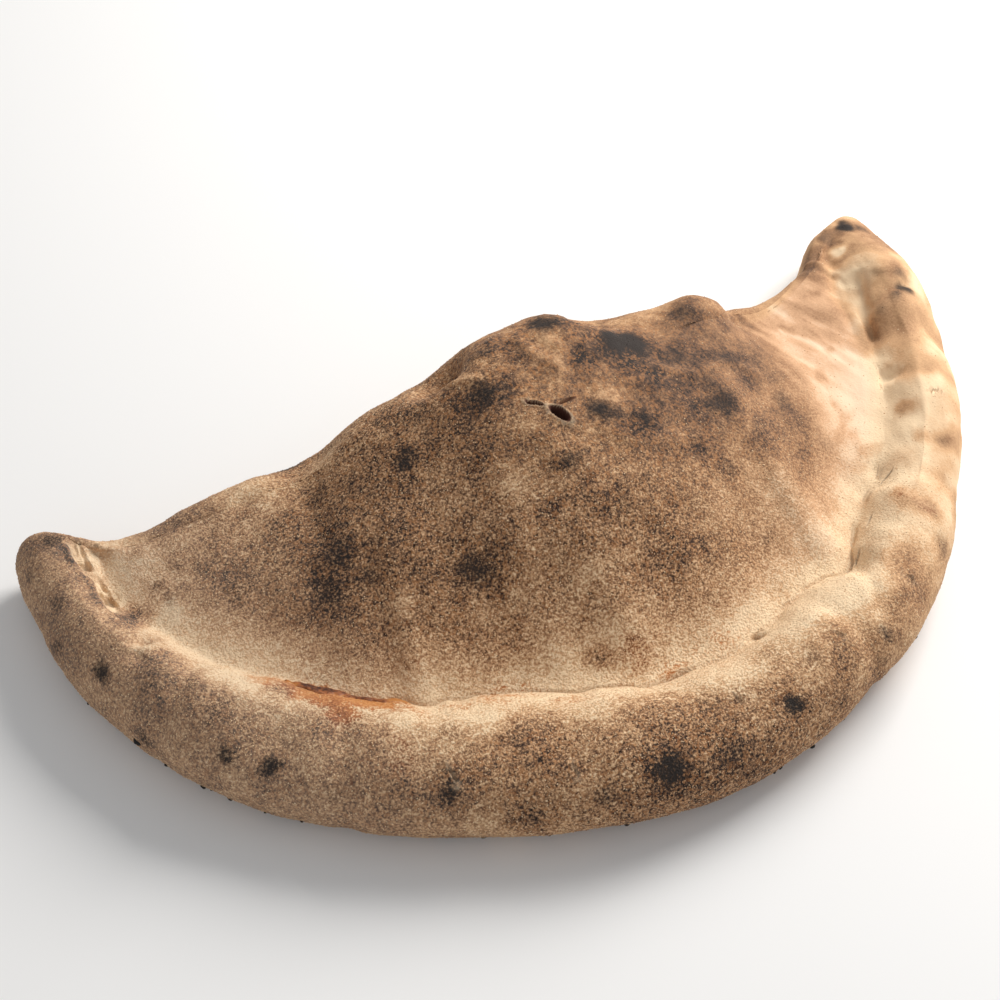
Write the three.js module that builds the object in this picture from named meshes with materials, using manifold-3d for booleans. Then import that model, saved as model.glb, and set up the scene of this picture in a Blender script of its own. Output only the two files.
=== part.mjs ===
// A baked calzone: a round of dough folded over its filling, with a rolled rim crimped along
// the round side and a plain fold along the back. It is one solid, in millimetres, +Z up, with
// the origin under the middle of its footprint. +X runs from the left tip to the right tip and
// +Y from the crimped side to the fold.
import * as THREE from "three";
import { mergeVertices } from "three/addons/utils/BufferGeometryUtils.js";
import Module from "manifold-3d";

const wasm = await Module();
wasm.setup();

// ---- Driving dimensions ---------------------------------------------------------------------

const FOLD_SIDE_STATIONS = 8; // stations 0 to 8 follow the fold, from the right tip to the left
const RIDGE_MIDDLE_X = -2;
const RIDGE_HALF_LENGTH = 122;
const FOOT_INSET = 13; // how far the flat underside stays inside the widest outline
const RIM_BELLY_SHARE = 0.46; // height of the rim's widest line, as a share of its crest
const FOLD_BELLY_SHARE = 0.4; // the same on the folded side, as a share of the ridge
const FOLD_BELLY_LIMIT = 40; // ridge height above which the fold's widest line stays level
const CREST_SHARE = 0.6; // where the rim's crest lies across its width
const RIM_FALL = 1.8; // how late the rim drops towards the seam
const LIP_RISE = 1.6; // the rim's inner edge stands this far above the seam
const SEAM_GAP = 1.8; // width of the seam, from the lip to the crown's foot
const CROWN_TOE = 10; // length of the hollow where the crown leaves the seam
const CROWN_POWER = 2; // roundness of the crown, up to its level ridge

// Stations at equal steps round the edge. Width is the rim's, from the outline to the seam,
// crest and seam are heights, and crimp is 1 where the edge is rolled and 0 where it is folded.
const STATIONS = [
  { name: "right tip", x: 145.5, y: 75.5, width: 20, crest: 21, seam: 19.5, crimp: 1 },
  { name: "behind the right tip", x: 130, y: 78, width: 14, crest: 21, seam: 20, crimp: 0.3 },
  { name: "right notch", x: 99, y: 58, width: 14, crest: 24, seam: 22, crimp: 0 },
  { name: "fold, right", x: 62, y: 56, width: 14, crest: 26, seam: 22, crimp: 0 },
  { name: "fold, middle", x: 6, y: 69, width: 15, crest: 26, seam: 22, crimp: 0 },
  { name: "fold, left", x: -45, y: 65, width: 15, crest: 26, seam: 22, crimp: 0 },
  { name: "left notch", x: -95, y: 65, width: 15, crest: 24, seam: 22, crimp: 0 },
  { name: "behind the left tip", x: -127, y: 69, width: 14, crest: 22, seam: 20.5, crimp: 0.4 },
  { name: "left tip", x: -144, y: 75, width: 18, crest: 22, seam: 20, crimp: 1 },
  { name: "left bend", x: -147, y: 27, width: 26, crest: 25, seam: 16, crimp: 1 },
  { name: "left front", x: -124, y: -26, width: 37, crest: 26, seam: 16, crimp: 1 },
  { name: "front, left of middle", x: -74, y: -66, width: 38, crest: 26, seam: 16, crimp: 1 },
  { name: "front, middle", x: -11, y: -84, width: 32, crest: 26, seam: 16, crimp: 1 },
  { name: "front, right of middle", x: 57, y: -68.5, width: 28.5, crest: 26, seam: 16, crimp: 1 },
  { name: "right front", x: 104, y: -28.5, width: 27, crest: 26, seam: 17, crimp: 1 },
  { name: "right bend", x: 138, y: 31, width: 27, crest: 24, seam: 18.5, crimp: 1 },
];

// The crown's ridge, at the stations of the folded side, from the right tip to the left.
const RIDGE = [
  { y: 64, height: 21 },
  { y: 57, height: 22 },
  { y: 45, height: 26 },
  { y: 35, height: 45 },
  { y: 34, height: 56 },
  { y: 42, height: 43 },
  { y: 52, height: 25 },
  { y: 58, height: 21.5 },
  { y: 63, height: 22 },
];

// Swellings and hollows baked into the crust, pushed out along its surface.
const LUMPS = [
  { name: "knob over the right shoulder", at: [59, 41, 46], radius: 13, height: 6 },
  { name: "knob over the middle", at: [13, 46, 55], radius: 15, height: 3.5 },
  { name: "left shoulder", at: [-22, 40, 50], radius: 18, height: 3.5 },
  { name: "dip between the knobs", at: [36, 38, 54], radius: 12, height: -2 },
  { name: "dip before the left wing", at: [-68, 40, 32], radius: 17, height: -3 },
  { name: "dip before the right wing", at: [84, 38, 32], radius: 15, height: -3 },
  { name: "blister on the right rim", at: [129, 45, 22], radius: 14, height: 2.5 },
  { name: "pinch below that blister", at: [130, 18, 22], radius: 8, height: -2 },
  { name: "puff on the right rim", at: [112, -10, 22], radius: 13, height: 2 },
  { name: "pinch on the left rim", at: [-112, -22, 22], radius: 9, height: -1.8 },
  { name: "puff on the front rim", at: [30, -66, 20], radius: 20, height: 1.6 },
];

// Slow unevenness over the whole crust: the size of its swellings and how far they rise.
const UNEVENNESS = [
  { size: 38, rise: 1.5 },
  { size: 17, rise: 0.6 },
];
const RELIEF_START = 7; // relief fades in over this height, so that the underside stays flat

// Slits through the crust: where it came apart beside the left tip, and where steam left the
// crown through two holes with a strand of dough between them. Turns are in degrees.
const SLITS = [
  { name: "tear at the left tip", at: [-130, 50, 24], half: [2.2, 14, 7], turn: -3 },
  { name: "larger steam hole", at: [-6.2, 15.8, 54], half: [3.9, 1.7, 5], turn: -58 },
  { name: "smaller steam hole", at: [-10.4, 20.9, 55], half: [2.7, 1, 4], turn: -44 },
];

const COLUMNS = 160;
const ROWS = { base: 2, side: 4, rim: 8, seam: 1, crown: 11 };
const SLIT_SEGMENTS = [14, 8];

// ---- The edge and the ridge as smooth loops ---------------------------------------------------

// A closed, smooth run through values at equal steps, as a function of the share of a turn.
function loopThrough(values) {
  const points = values.map((value) => new THREE.Vector3(value, 0, 0));
  const curve = new THREE.CatmullRomCurve3(points, true, "catmullrom", 0.5);
  return (turn) => curve.getPoint(turn).x;
}

const stationLoop = (key) => loopThrough(STATIONS.map((station) => station[key]));
const ridgeLoop = (key) => {
  const there = RIDGE.map((point) => point[key]);
  const back = there.slice(1, FOLD_SIDE_STATIONS).reverse();
  return loopThrough([...there, ...back]);
};

const edge = {
  x: stationLoop("x"),
  y: stationLoop("y"),
  width: stationLoop("width"),
  crest: stationLoop("crest"),
  seam: stationLoop("seam"),
  crimp: stationLoop("crimp"),
};
const ridge = { y: ridgeLoop("y"), height: ridgeLoop("height") };

// One column of the surface: a straight way in from the outline to the ridge.
function columnAt(turn) {
  const outline = new THREE.Vector2(edge.x(turn), edge.y(turn));
  const ridgeX = RIDGE_MIDDLE_X + RIDGE_HALF_LENGTH * Math.cos(2 * Math.PI * turn);
  const inward = new THREE.Vector2(ridgeX, ridge.y(turn)).sub(outline);
  const reach = inward.length();
  const top = ridge.height(turn);
  return {
    outline,
    inward: inward.divideScalar(reach),
    reach,
    top,
    foot: Math.min(FOOT_INSET, 0.4 * reach),
    width: Math.min(edge.width(turn), 0.8 * reach),
    crest: edge.crest(turn),
    seam: edge.seam(turn),
    crimp: THREE.MathUtils.clamp(edge.crimp(turn), 0, 1),
    foldBelly: FOLD_BELLY_SHARE * Math.min(top, FOLD_BELLY_LIMIT),
  };
}

// ---- Sections ---------------------------------------------------------------------------------

// The folded side rises in one quarter round from its widest line to the ridge.
function foldHeight(column, inset) {
  const share = THREE.MathUtils.clamp(inset / column.reach, 0, 1);
  return column.foldBelly + (column.top - column.foldBelly) * Math.sqrt(1 - (1 - share) ** 2);
}

// Each zone gives the inset from the outline, and the height on the crimped and folded sides.
const ZONES = {
  base(column, share) {
    return [THREE.MathUtils.lerp(column.reach, column.foot, share), 0, 0];
  },
  side(column, share) {
    const angle = (Math.PI / 2) * (share - 1);
    const lift = 1 + Math.sin(angle);
    const rimBelly = RIM_BELLY_SHARE * column.crest;
    return [column.foot * (1 - Math.cos(angle)), rimBelly * lift, column.foldBelly * lift];
  },
  rim(column, share) {
    const rimBelly = RIM_BELLY_SHARE * column.crest;
    const crestInset = CREST_SHARE * column.width;
    if (share <= CREST_SHARE) {
      const angle = (Math.PI / 2) * (share / CREST_SHARE);
      const inset = crestInset * (1 - Math.cos(angle));
      const height = rimBelly + (column.crest - rimBelly) * Math.sin(angle);
      return [inset, height, foldHeight(column, inset)];
    }
    const fall = (share - CREST_SHARE) / (1 - CREST_SHARE);
    const inset = THREE.MathUtils.lerp(crestInset, column.width, fall);
    const lip = column.seam + LIP_RISE;
    const height = THREE.MathUtils.lerp(column.crest, lip, fall ** RIM_FALL);
    return [inset, height, foldHeight(column, inset)];
  },
  seam(column) {
    const inset = column.width + SEAM_GAP;
    return [inset, column.seam, foldHeight(column, inset)];
  },
  crown(column, share) {
    const start = column.width + SEAM_GAP;
    const toe = CROWN_TOE / (column.reach - start);
    const climb = share ** 2 / (share + toe * (1 - share));
    const inset = THREE.MathUtils.lerp(start, column.reach, share);
    const height = THREE.MathUtils.lerp(column.seam, column.top, 1 - (1 - climb) ** CROWN_POWER);
    return [inset, height, foldHeight(column, inset)];
  },
};

function pointOf(column, zone, share) {
  const [inset, crimped, folded] = ZONES[zone](column, share);
  const height = THREE.MathUtils.lerp(folded, crimped, column.crimp);
  return new THREE.Vector3(
    column.outline.x + column.inward.x * inset,
    column.outline.y + column.inward.y * inset,
    height,
  );
}

// ---- The dough --------------------------------------------------------------------------------

function bareDough() {
  const rows = [{ zone: "base", share: 0 }];
  for (const [zone, count] of Object.entries(ROWS)) {
    for (let step = 1; step <= count; step++) rows.push({ zone, share: step / count });
  }
  const positions = [];
  for (const { zone, share } of rows) {
    for (let c = 0; c < COLUMNS; c++) {
      positions.push(...pointOf(columnAt(c / COLUMNS), zone, share).toArray());
    }
  }
  const faces = [];
  for (let row = 0; row + 1 < rows.length; row++) {
    for (let c = 0; c < COLUMNS; c++) {
      const here = row * COLUMNS + c;
      const next = row * COLUMNS + ((c + 1) % COLUMNS);
      faces.push(here, next, here + COLUMNS);
      faces.push(next, next + COLUMNS, here + COLUMNS);
    }
  }
  const geometry = new THREE.BufferGeometry();
  geometry.setAttribute("position", new THREE.Float32BufferAttribute(positions, 3));
  geometry.setIndex(faces);
  return mergeVertices(geometry, 1e-3);
}

function lumpRise(point) {
  return LUMPS.reduce((sum, lump) => {
    const away = point.distanceTo(new THREE.Vector3(...lump.at)) / lump.radius;
    return sum + lump.height * Math.exp(-away * away);
  }, 0);
}

// A repeatable value between -1 and 1 for each corner of a lattice.
function cornerValue(x, y, z) {
  const spread = Math.sin(x * 127.1 + y * 311.7 + z * 74.7) * 43758.5453;
  return 2 * (spread - Math.floor(spread)) - 1;
}

// Smooth noise: the values of the eight corners round a point, blended.
function noise(point) {
  const cell = point.clone().floor();
  const within = point.clone().sub(cell);
  const ease = within.toArray().map((share) => THREE.MathUtils.smoothstep(share, 0, 1));
  let sum = 0;
  for (const corner of [0, 1, 2, 3, 4, 5, 6, 7]) {
    const step = [corner & 1, (corner >> 1) & 1, corner >> 2];
    const weights = step.map((far, axis) => (far ? ease[axis] : 1 - ease[axis]));
    const value = cornerValue(cell.x + step[0], cell.y + step[1], cell.z + step[2]);
    sum += value * weights[0] * weights[1] * weights[2];
  }
  return sum;
}

function unevenRise(point) {
  return UNEVENNESS.reduce((sum, { size, rise }) => {
    return sum + rise * noise(point.clone().divideScalar(size));
  }, 0);
}

function withRelief(geometry) {
  geometry.computeVertexNormals();
  const { position, normal } = geometry.attributes;
  for (let i = 0; i < position.count; i++) {
    const point = new THREE.Vector3().fromBufferAttribute(position, i);
    const fade = THREE.MathUtils.smoothstep(point.z, 0, RELIEF_START);
    const rise = fade * (lumpRise(point) + unevenRise(point));
    point.addScaledVector(new THREE.Vector3().fromBufferAttribute(normal, i), rise);
    position.setXYZ(i, point.x, point.y, point.z);
  }
  geometry.deleteAttribute("normal");
  return geometry;
}

// ---- Cuts -------------------------------------------------------------------------------------

function solidFrom(geometry) {
  for (const name of ["normal", "uv"]) geometry.deleteAttribute(name);
  const merged = mergeVertices(geometry, 1e-3);
  const mesh = new wasm.Mesh({
    numProp: 3,
    vertProperties: merged.attributes.position.array,
    triVerts: new Uint32Array(merged.index.array),
  });
  return new wasm.Manifold(mesh);
}

function geometryFrom(solid) {
  const mesh = solid.getMesh();
  const geometry = new THREE.BufferGeometry();
  geometry.setAttribute("position", new THREE.BufferAttribute(mesh.vertProperties, 3));
  geometry.setIndex(new THREE.BufferAttribute(mesh.triVerts, 1));
  return geometry;
}

function slitCut({ at, half, turn }) {
  return new THREE.SphereGeometry(1, ...SLIT_SEGMENTS)
    .scale(...half)
    .rotateZ(THREE.MathUtils.degToRad(turn))
    .translate(...at);
}

function calzoneGeometry() {
  const cuts = SLITS.map(slitCut).map(solidFrom);
  const dough = cuts.reduce((left, cut) => left.subtract(cut), solidFrom(withRelief(bareDough())));
  return geometryFrom(dough);
}

const crust = new THREE.MeshStandardMaterial({ color: 0xb08563, roughness: 0.85, metalness: 0 });
const calzone = new THREE.Mesh(calzoneGeometry(), crust);
calzone.name = "calzone";

// The footprint's middle is brought over the origin.
const box = new THREE.Box3().setFromObject(calzone);
const middle = box.getCenter(new THREE.Vector3());
calzone.position.set(-middle.x, -middle.y, -box.min.z);

const part = new THREE.Group();
part.add(calzone);

export default part;
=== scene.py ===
"""A baked calzone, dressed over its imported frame: crust, leaked sauce, grit and studio."""

import math
from typing import NamedTuple

import bmesh
import bpy
import numpy as np
from mathutils import Matrix, Vector


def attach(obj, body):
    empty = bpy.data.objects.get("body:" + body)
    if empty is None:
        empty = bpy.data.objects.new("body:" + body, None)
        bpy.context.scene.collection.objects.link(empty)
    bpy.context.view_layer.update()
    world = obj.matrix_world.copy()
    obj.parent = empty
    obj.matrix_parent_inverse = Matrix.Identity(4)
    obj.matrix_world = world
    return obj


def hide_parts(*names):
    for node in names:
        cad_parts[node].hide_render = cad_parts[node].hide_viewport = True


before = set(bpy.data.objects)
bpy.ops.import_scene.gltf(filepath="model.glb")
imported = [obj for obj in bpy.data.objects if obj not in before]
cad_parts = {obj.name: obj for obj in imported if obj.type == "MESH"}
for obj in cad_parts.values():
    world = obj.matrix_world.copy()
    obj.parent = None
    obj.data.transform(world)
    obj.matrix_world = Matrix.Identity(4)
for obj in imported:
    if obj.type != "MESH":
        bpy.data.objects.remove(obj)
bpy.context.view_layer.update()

bl_info = {
    "name": "Baked calzone",
    "version": (1, 0, 0),
    "blender": (4, 5, 0),
    "location": "View3D > Sidebar > Calzone",
    "description": "Bakes a calzone's crust, leaked sauce and grit, and lights them",
    "category": "Add Mesh",
}

MM = 0.001  # every length below is in millimetres until it is written to a mesh

# ---- The dough's plan and sections, as in the part's solid ------------------------------------


class Station(NamedTuple):
    """One of the equal steps round the edge, counted from the right tip past the fold."""

    x: float
    y: float
    width: float  # the rim's, from the outline to the seam
    crest: float
    seam: float
    crimp: float  # 1 where the edge is rolled and 0 where it is folded
    lip: float  # how far the rim's inner edge stands above the seam
    tuck: float  # how far that lip reaches back over the seam
    soft: float  # 1 where the seam is only a smooth valley
    pale: float  # pale dough on the rim, beside the seam
    toast: float  # how brown the rim is
    blush: float  # 1 where pale dough is smooth, 0 where it is grainy


STATIONS = {
    "right tip": Station(145.5, 75.5, 20, 21, 19.5, 1, 0.2, 0, 0.9, 8, 0.2, 1),
    "behind the right tip": Station(130, 78, 14, 21, 20, 0.3, 0.2, 0, 0.9, 8, 0.22, 1),
    "right notch": Station(99, 58, 14, 24, 22, 0, 0, 0, 0, 0, 0.25, 1),
    "fold, right": Station(62, 56, 14, 26, 22, 0, 0, 0, 0, 0, 0.5, 0.4),
    "fold, middle": Station(6, 69, 15, 26, 22, 0, 0, 0, 0, 0, 0.5, 0),
    "fold, left": Station(-45, 65, 15, 26, 22, 0, 0, 0, 0, 0, 0.5, 0),
    "left notch": Station(-95, 65, 15, 24, 22, 0, 0, 0, 0, 0, 0.45, 0.3),
    "behind the left tip": Station(-127, 69, 14, 22, 20.5, 0.4, 0.2, 0, 0.5, 0, 0.42, 0.4),
    "left tip": Station(-144, 75, 18, 22, 20, 1, 0.4, 0, 0.6, 0, 0.46, 0.4),
    "left bend": Station(-147, 27, 26, 25, 16, 1, 0.8, 0.1, 0.4, 1, 0.46, 0.3),
    "left front": Station(-124, -26, 37, 26, 16, 1, 1.0, 0.4, 0.2, 11, 0.45, 0.2),
    "front, left of middle": Station(-74, -66, 38, 26, 16, 1, 2.0, 1.8, 0, 13, 0.46, 0.15),
    "front, middle": Station(-11, -84, 32, 26, 16, 1, 1.6, 1.4, 0, 13, 0.54, 0.1),
    "front, right of middle": Station(57, -68.5, 28.5, 26, 16, 1, 1.3, 1.0, 0, 13, 0.36, 0.5),
    "right front": Station(104, -28.5, 27, 26, 17, 1, 0.4, 0.1, 0.9, 12, 0.1, 1),
    "right bend": Station(138, 31, 27, 24, 18.5, 1, 0.2, 0, 0.9, 12, 0.12, 1),
}
RIDGE_Y = (64, 57, 45, 35, 34, 42, 52, 58, 63)
RIDGE_HEIGHT = (21, 22, 26, 45, 56, 43, 25, 21.5, 22)
RIDGE_MIDDLE_X = -2
RIDGE_HALF_LENGTH = 122
FOOT_INSET = 13
RIM_BELLY_SHARE = 0.46
FOLD_BELLY_SHARE = 0.4
FOLD_BELLY_LIMIT = 40
CREST_SHARE = 0.6
RIM_FALL = 1.8
SEAM_GAP = 1.8
CROWN_TOE = 10
CROWN_POWER = 2
CROWN_GRADING = 1.2  # over 1 where the crown's rows lie closer together beside the seam


class Lump(NamedTuple):
    """A swelling, or a hollow if its rise is negative."""

    at: tuple
    radius: float
    rise: float


LUMPS = {
    "knob over the right shoulder": Lump((59, 41, 46), 13, 6),
    "knob over the middle": Lump((13, 46, 55), 15, 3.5),
    "left shoulder": Lump((-22, 40, 50), 18, 3.5),
    "dip between the knobs": Lump((36, 38, 54), 12, -2),
    "dip before the left wing": Lump((-68, 40, 32), 17, -3),
    "dip before the right wing": Lump((84, 38, 32), 15, -3),
    "blister on the right rim": Lump((129, 45, 22), 14, 2.5),
    "pinch below that blister": Lump((130, 18, 22), 8, -2),
    "puff on the right rim": Lump((112, -10, 22), 13, 2),
    "pinch on the left rim": Lump((-112, -22, 22), 9, -1.8),
    "puff on the front rim": Lump((30, -66, 20), 20, 1.6),
}
UNEVENNESS = ((38, 1.5), (17, 0.6))  # the size of the crust's swellings and how far they rise
RELIEF_START = 7
FOOTPRINT_MIDDLE = (-1.5, -0.5)  # what the part's origin stands under, in the stations' frame


class Bend(NamedTuple):
    """A stretch of the seam, between stations, and a change that is greatest at its middle."""

    station: float
    change: float
    reach: float


SEAM_BENDS = (  # changes to the rim's width
    Bend(10.65, -0.9, 0.1),
    Bend(10.9, -1.8, 0.07),
    Bend(11.3, 2.6, 0.2),
    Bend(11.6, 1.2, 0.14),
    Bend(11.88, -0.8, 0.1),
    Bend(12.65, 1.2, 0.12),
    Bend(12.95, -3.4, 0.09),
    Bend(13.27, 2.2, 0.18),
    Bend(14.85, -1.2, 0.15),
    Bend(15.15, -1.5, 0.2),
)
SEAM_CRACKS = (  # depths to which the seam stands open
    Bend(10.74, 1.0, 0.2),
    Bend(11.62, 1.3, 0.24),
    Bend(11.96, 1.9, 0.11),
    Bend(12.4, 1.6, 0.03),
    Bend(12.8, 0.7, 0.16),
    Bend(13.13, 2.0, 0.06),
    Bend(13.38, 2.0, 0.05),
    Bend(13.55, 2.0, 0.05),
)


def along_seam(bends, station):
    """The sum of the bends' changes at places between stations."""
    return sum(bend.change * np.exp(-(((station - bend.station) / bend.reach) ** 4)) for bend in bends)


# ---- Noise --------------------------------------------------------------------------------------

NOISE_BATCH = 4096  # points worked on at once, which keeps the arrays small and quick


def corner_value(x, y, z):
    """A fixed, scrambled value between -1 and 1 for each corner of the noise's grid."""
    spread = np.sin(x * 127.1 + y * 311.7 + z * 74.7) * 43758.5453
    return 2 * (spread - np.floor(spread)) - 1


def noise_of_few(points, size, seed):
    scaled = (points / size + 17.3 * seed).T
    cell = np.floor(scaled)
    within = scaled - cell
    ease = within * within * (3 - 2 * within)
    total = 0
    for corner in range(8):
        step = (corner & 1, corner >> 1 & 1, corner >> 2)
        x, y, z = (share if far else 1 - share for share, far in zip(ease, step))
        value = corner_value(*(low + far for low, far in zip(cell, step)))
        total = total + value * x * y * z
    return total


def noise(points, size, seed=0):
    """Smooth, repeatable noise between -1 and 1 with swellings of the given size."""
    batches = np.array_split(points, len(points) // NOISE_BATCH + 1)
    return np.concatenate([noise_of_few(batch, size, seed) for batch in batches])


def fractal(points, size, octaves, seed):
    """Noise with finer noise over it, each half as large and half as high."""
    turn = np.array(Matrix.Rotation(0.7, 3, Vector((1, 2, 3))))
    total = np.zeros(len(points))
    for octave in range(octaves):
        points = points @ turn
        total += noise(points, size / 2**octave, seed + octave) / 2**octave
    return total / 1.6


def smoothstep(low, high, value):
    """0 below the first value, 1 above the second, and smooth between them."""
    share = np.clip((value - low) / (high - low), 0, 1)
    return share * share * (3 - 2 * share)


def bell(share):
    """1 at 0, falling smoothly on both sides to nearly 0 at 2."""
    return np.exp(-(share**2))


def mix(low, high, share):
    return low + (high - low) * share


def away_from(middle, points):
    """The points' distances from a place."""
    return np.linalg.norm(points - np.array(middle), axis=1)


def along_and_across(away, degrees):
    """How far offsets reach, in plan, along and across a direction at that angle from +X."""
    angle = math.radians(degrees)
    along = away[:, 0] * math.cos(angle) + away[:, 1] * math.sin(angle)
    across = away[:, 1] * math.cos(angle) - away[:, 0] * math.sin(angle)
    return along, across


# ---- The crust's surface ------------------------------------------------------------------------


def loop_through(values, turns):
    """A smooth closed run through values at equal steps, read at shares of a turn."""
    values = np.asarray(values, float)
    place = turns * len(values)
    step = np.floor(place).astype(int)
    t = place - step
    before, here, after, beyond = (values[(step + k) % len(values)] for k in (-1, 0, 1, 2))
    return 0.5 * (
        2 * here
        + (after - before) * t
        + (2 * before - 5 * here + 4 * after - beyond) * t**2
        + (3 * here - before - 3 * after + beyond) * t**3
    )


class Columns:
    """Every column of the surface: a straight way in from the outline to the ridge.

    Each zone's method gives, at a share of the way through that zone, how far in from the outline
    a point lies, its height where the edge is rolled, and its height where the edge is folded.
    """

    def __init__(self, count, wander):
        turns = np.arange(count) / count
        for key in Station._fields:
            values = [getattr(station, key) for station in STATIONS.values()]
            setattr(self, key, loop_through(values, turns))
        self.crimp = np.clip(self.crimp, 0, 1)
        self.blush = np.clip(self.blush, 0, 1)
        self.tuck = np.clip(self.tuck, 0, None) * self.crimp
        ridge_y = loop_through(RIDGE_Y + RIDGE_Y[-2:0:-1], turns)
        self.top = loop_through(RIDGE_HEIGHT + RIDGE_HEIGHT[-2:0:-1], turns)
        ridge_x = RIDGE_MIDDLE_X + RIDGE_HALF_LENGTH * np.cos(2 * np.pi * turns)
        inward = np.stack((ridge_x - self.x, ridge_y - self.y), axis=1)
        self.reach = np.linalg.norm(inward, axis=1)
        self.inward = inward / self.reach[:, None]
        edge = np.stack((self.x, self.y, 0 * self.x), axis=1)
        self.width = np.minimum(self.width, 0.8 * self.reach)
        self.station = turns * len(STATIONS)
        self.width += along_seam(SEAM_BENDS, self.station)
        self.width += self.crimp * wander * (noise(edge, 14, 3) + 0.6 * noise(edge, 5, 4))
        self.tuck *= 1 + 0.8 * noise(edge, 11, 5)
        self.lip *= 1 + 0.5 * noise(edge, 16, 6)
        ragged = np.clip(0.8 + 0.9 * noise(edge, 4, 7), 0, None)
        self.gape = along_seam(SEAM_CRACKS, self.station) * ragged
        self.foot = np.minimum(FOOT_INSET, 0.4 * self.reach)
        self.rim_belly = RIM_BELLY_SHARE * self.crest
        self.fold_belly = FOLD_BELLY_SHARE * np.minimum(self.top, FOLD_BELLY_LIMIT)

    def fold_height(self, inset):
        share = np.clip(inset / self.reach, 0, 1)
        rise = np.sqrt(1 - (1 - share) ** 2)
        return self.fold_belly + (self.top - self.fold_belly) * rise

    def base(self, share):
        level = 0 * self.reach
        return mix(self.reach, self.foot, share), level, level

    def side(self, share):
        angle = math.pi / 2 * (share - 1)
        lift = 1 + math.sin(angle)
        inset = self.foot * (1 - math.cos(angle))
        return inset, self.rim_belly * lift, self.fold_belly * lift

    def rim(self, share):
        crest_inset = CREST_SHARE * self.width
        if share <= CREST_SHARE:
            angle = math.pi / 2 * share / CREST_SHARE
            inset = crest_inset * (1 - math.cos(angle))
            height = mix(self.rim_belly, self.crest, math.sin(angle))
        else:
            fall = (share - CREST_SHARE) / (1 - CREST_SHARE)
            inset = mix(crest_inset, self.width, fall)
            height = mix(self.crest, self.seam + self.lip, fall**RIM_FALL)
        return inset, height, self.fold_height(inset)

    def seam_line(self, share):
        """Round the lip, back under it, and out along the seam's floor."""
        ahead, back, drop = SEAM_PROFILE[round(share * len(SEAM_PROFILE)) - 1]
        inset = self.width + mix(share, ahead, self.crimp) * SEAM_GAP - back * self.tuck
        height = self.seam + self.lip - drop * (self.lip + 0.5 * self.tuck + self.gape)
        return inset, height, self.fold_height(inset)

    def crown(self, share):
        share = share**CROWN_GRADING
        start = self.width + SEAM_GAP
        toe = CROWN_TOE / (self.reach - start)
        climb = share**2 / (share + toe * (1 - share))
        inset = mix(start, self.reach, share)
        height = mix(self.seam, self.top, 1 - (1 - climb) ** CROWN_POWER)
        return inset, height, self.fold_height(inset)


# Steps from the lip to the crown's foot: ahead of the lip as a share of the seam's gap, back
# under it as a share of the tuck, and down as a share of the lip's height over the seam's floor.
SEAM_PROFILE = (
    (0.25, 0.0, 0.12),
    (0.3, 0.1, 0.35),
    (0.15, 0.55, 0.6),
    (0.1, 0.9, 0.85),
    (0.3, 0.6, 1.05),
    (0.65, 0.1, 1.08),
)

FINENESS = 1.0
COLUMN_COUNT = round(550 * FINENESS)
ZONES = {
    "base": round(8 * FINENESS),
    "side": round(16 * FINENESS),
    "rim": round(50 * FINENESS),
    "seam_line": len(SEAM_PROFILE),
    "crown": round(66 * FINENESS),
}
SOFTENED = {"rim": (0.62, 1), "seam_line": (0, 1), "crown": (0, 0.3)}
SOFTENING_ROUNDS = 130


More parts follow.
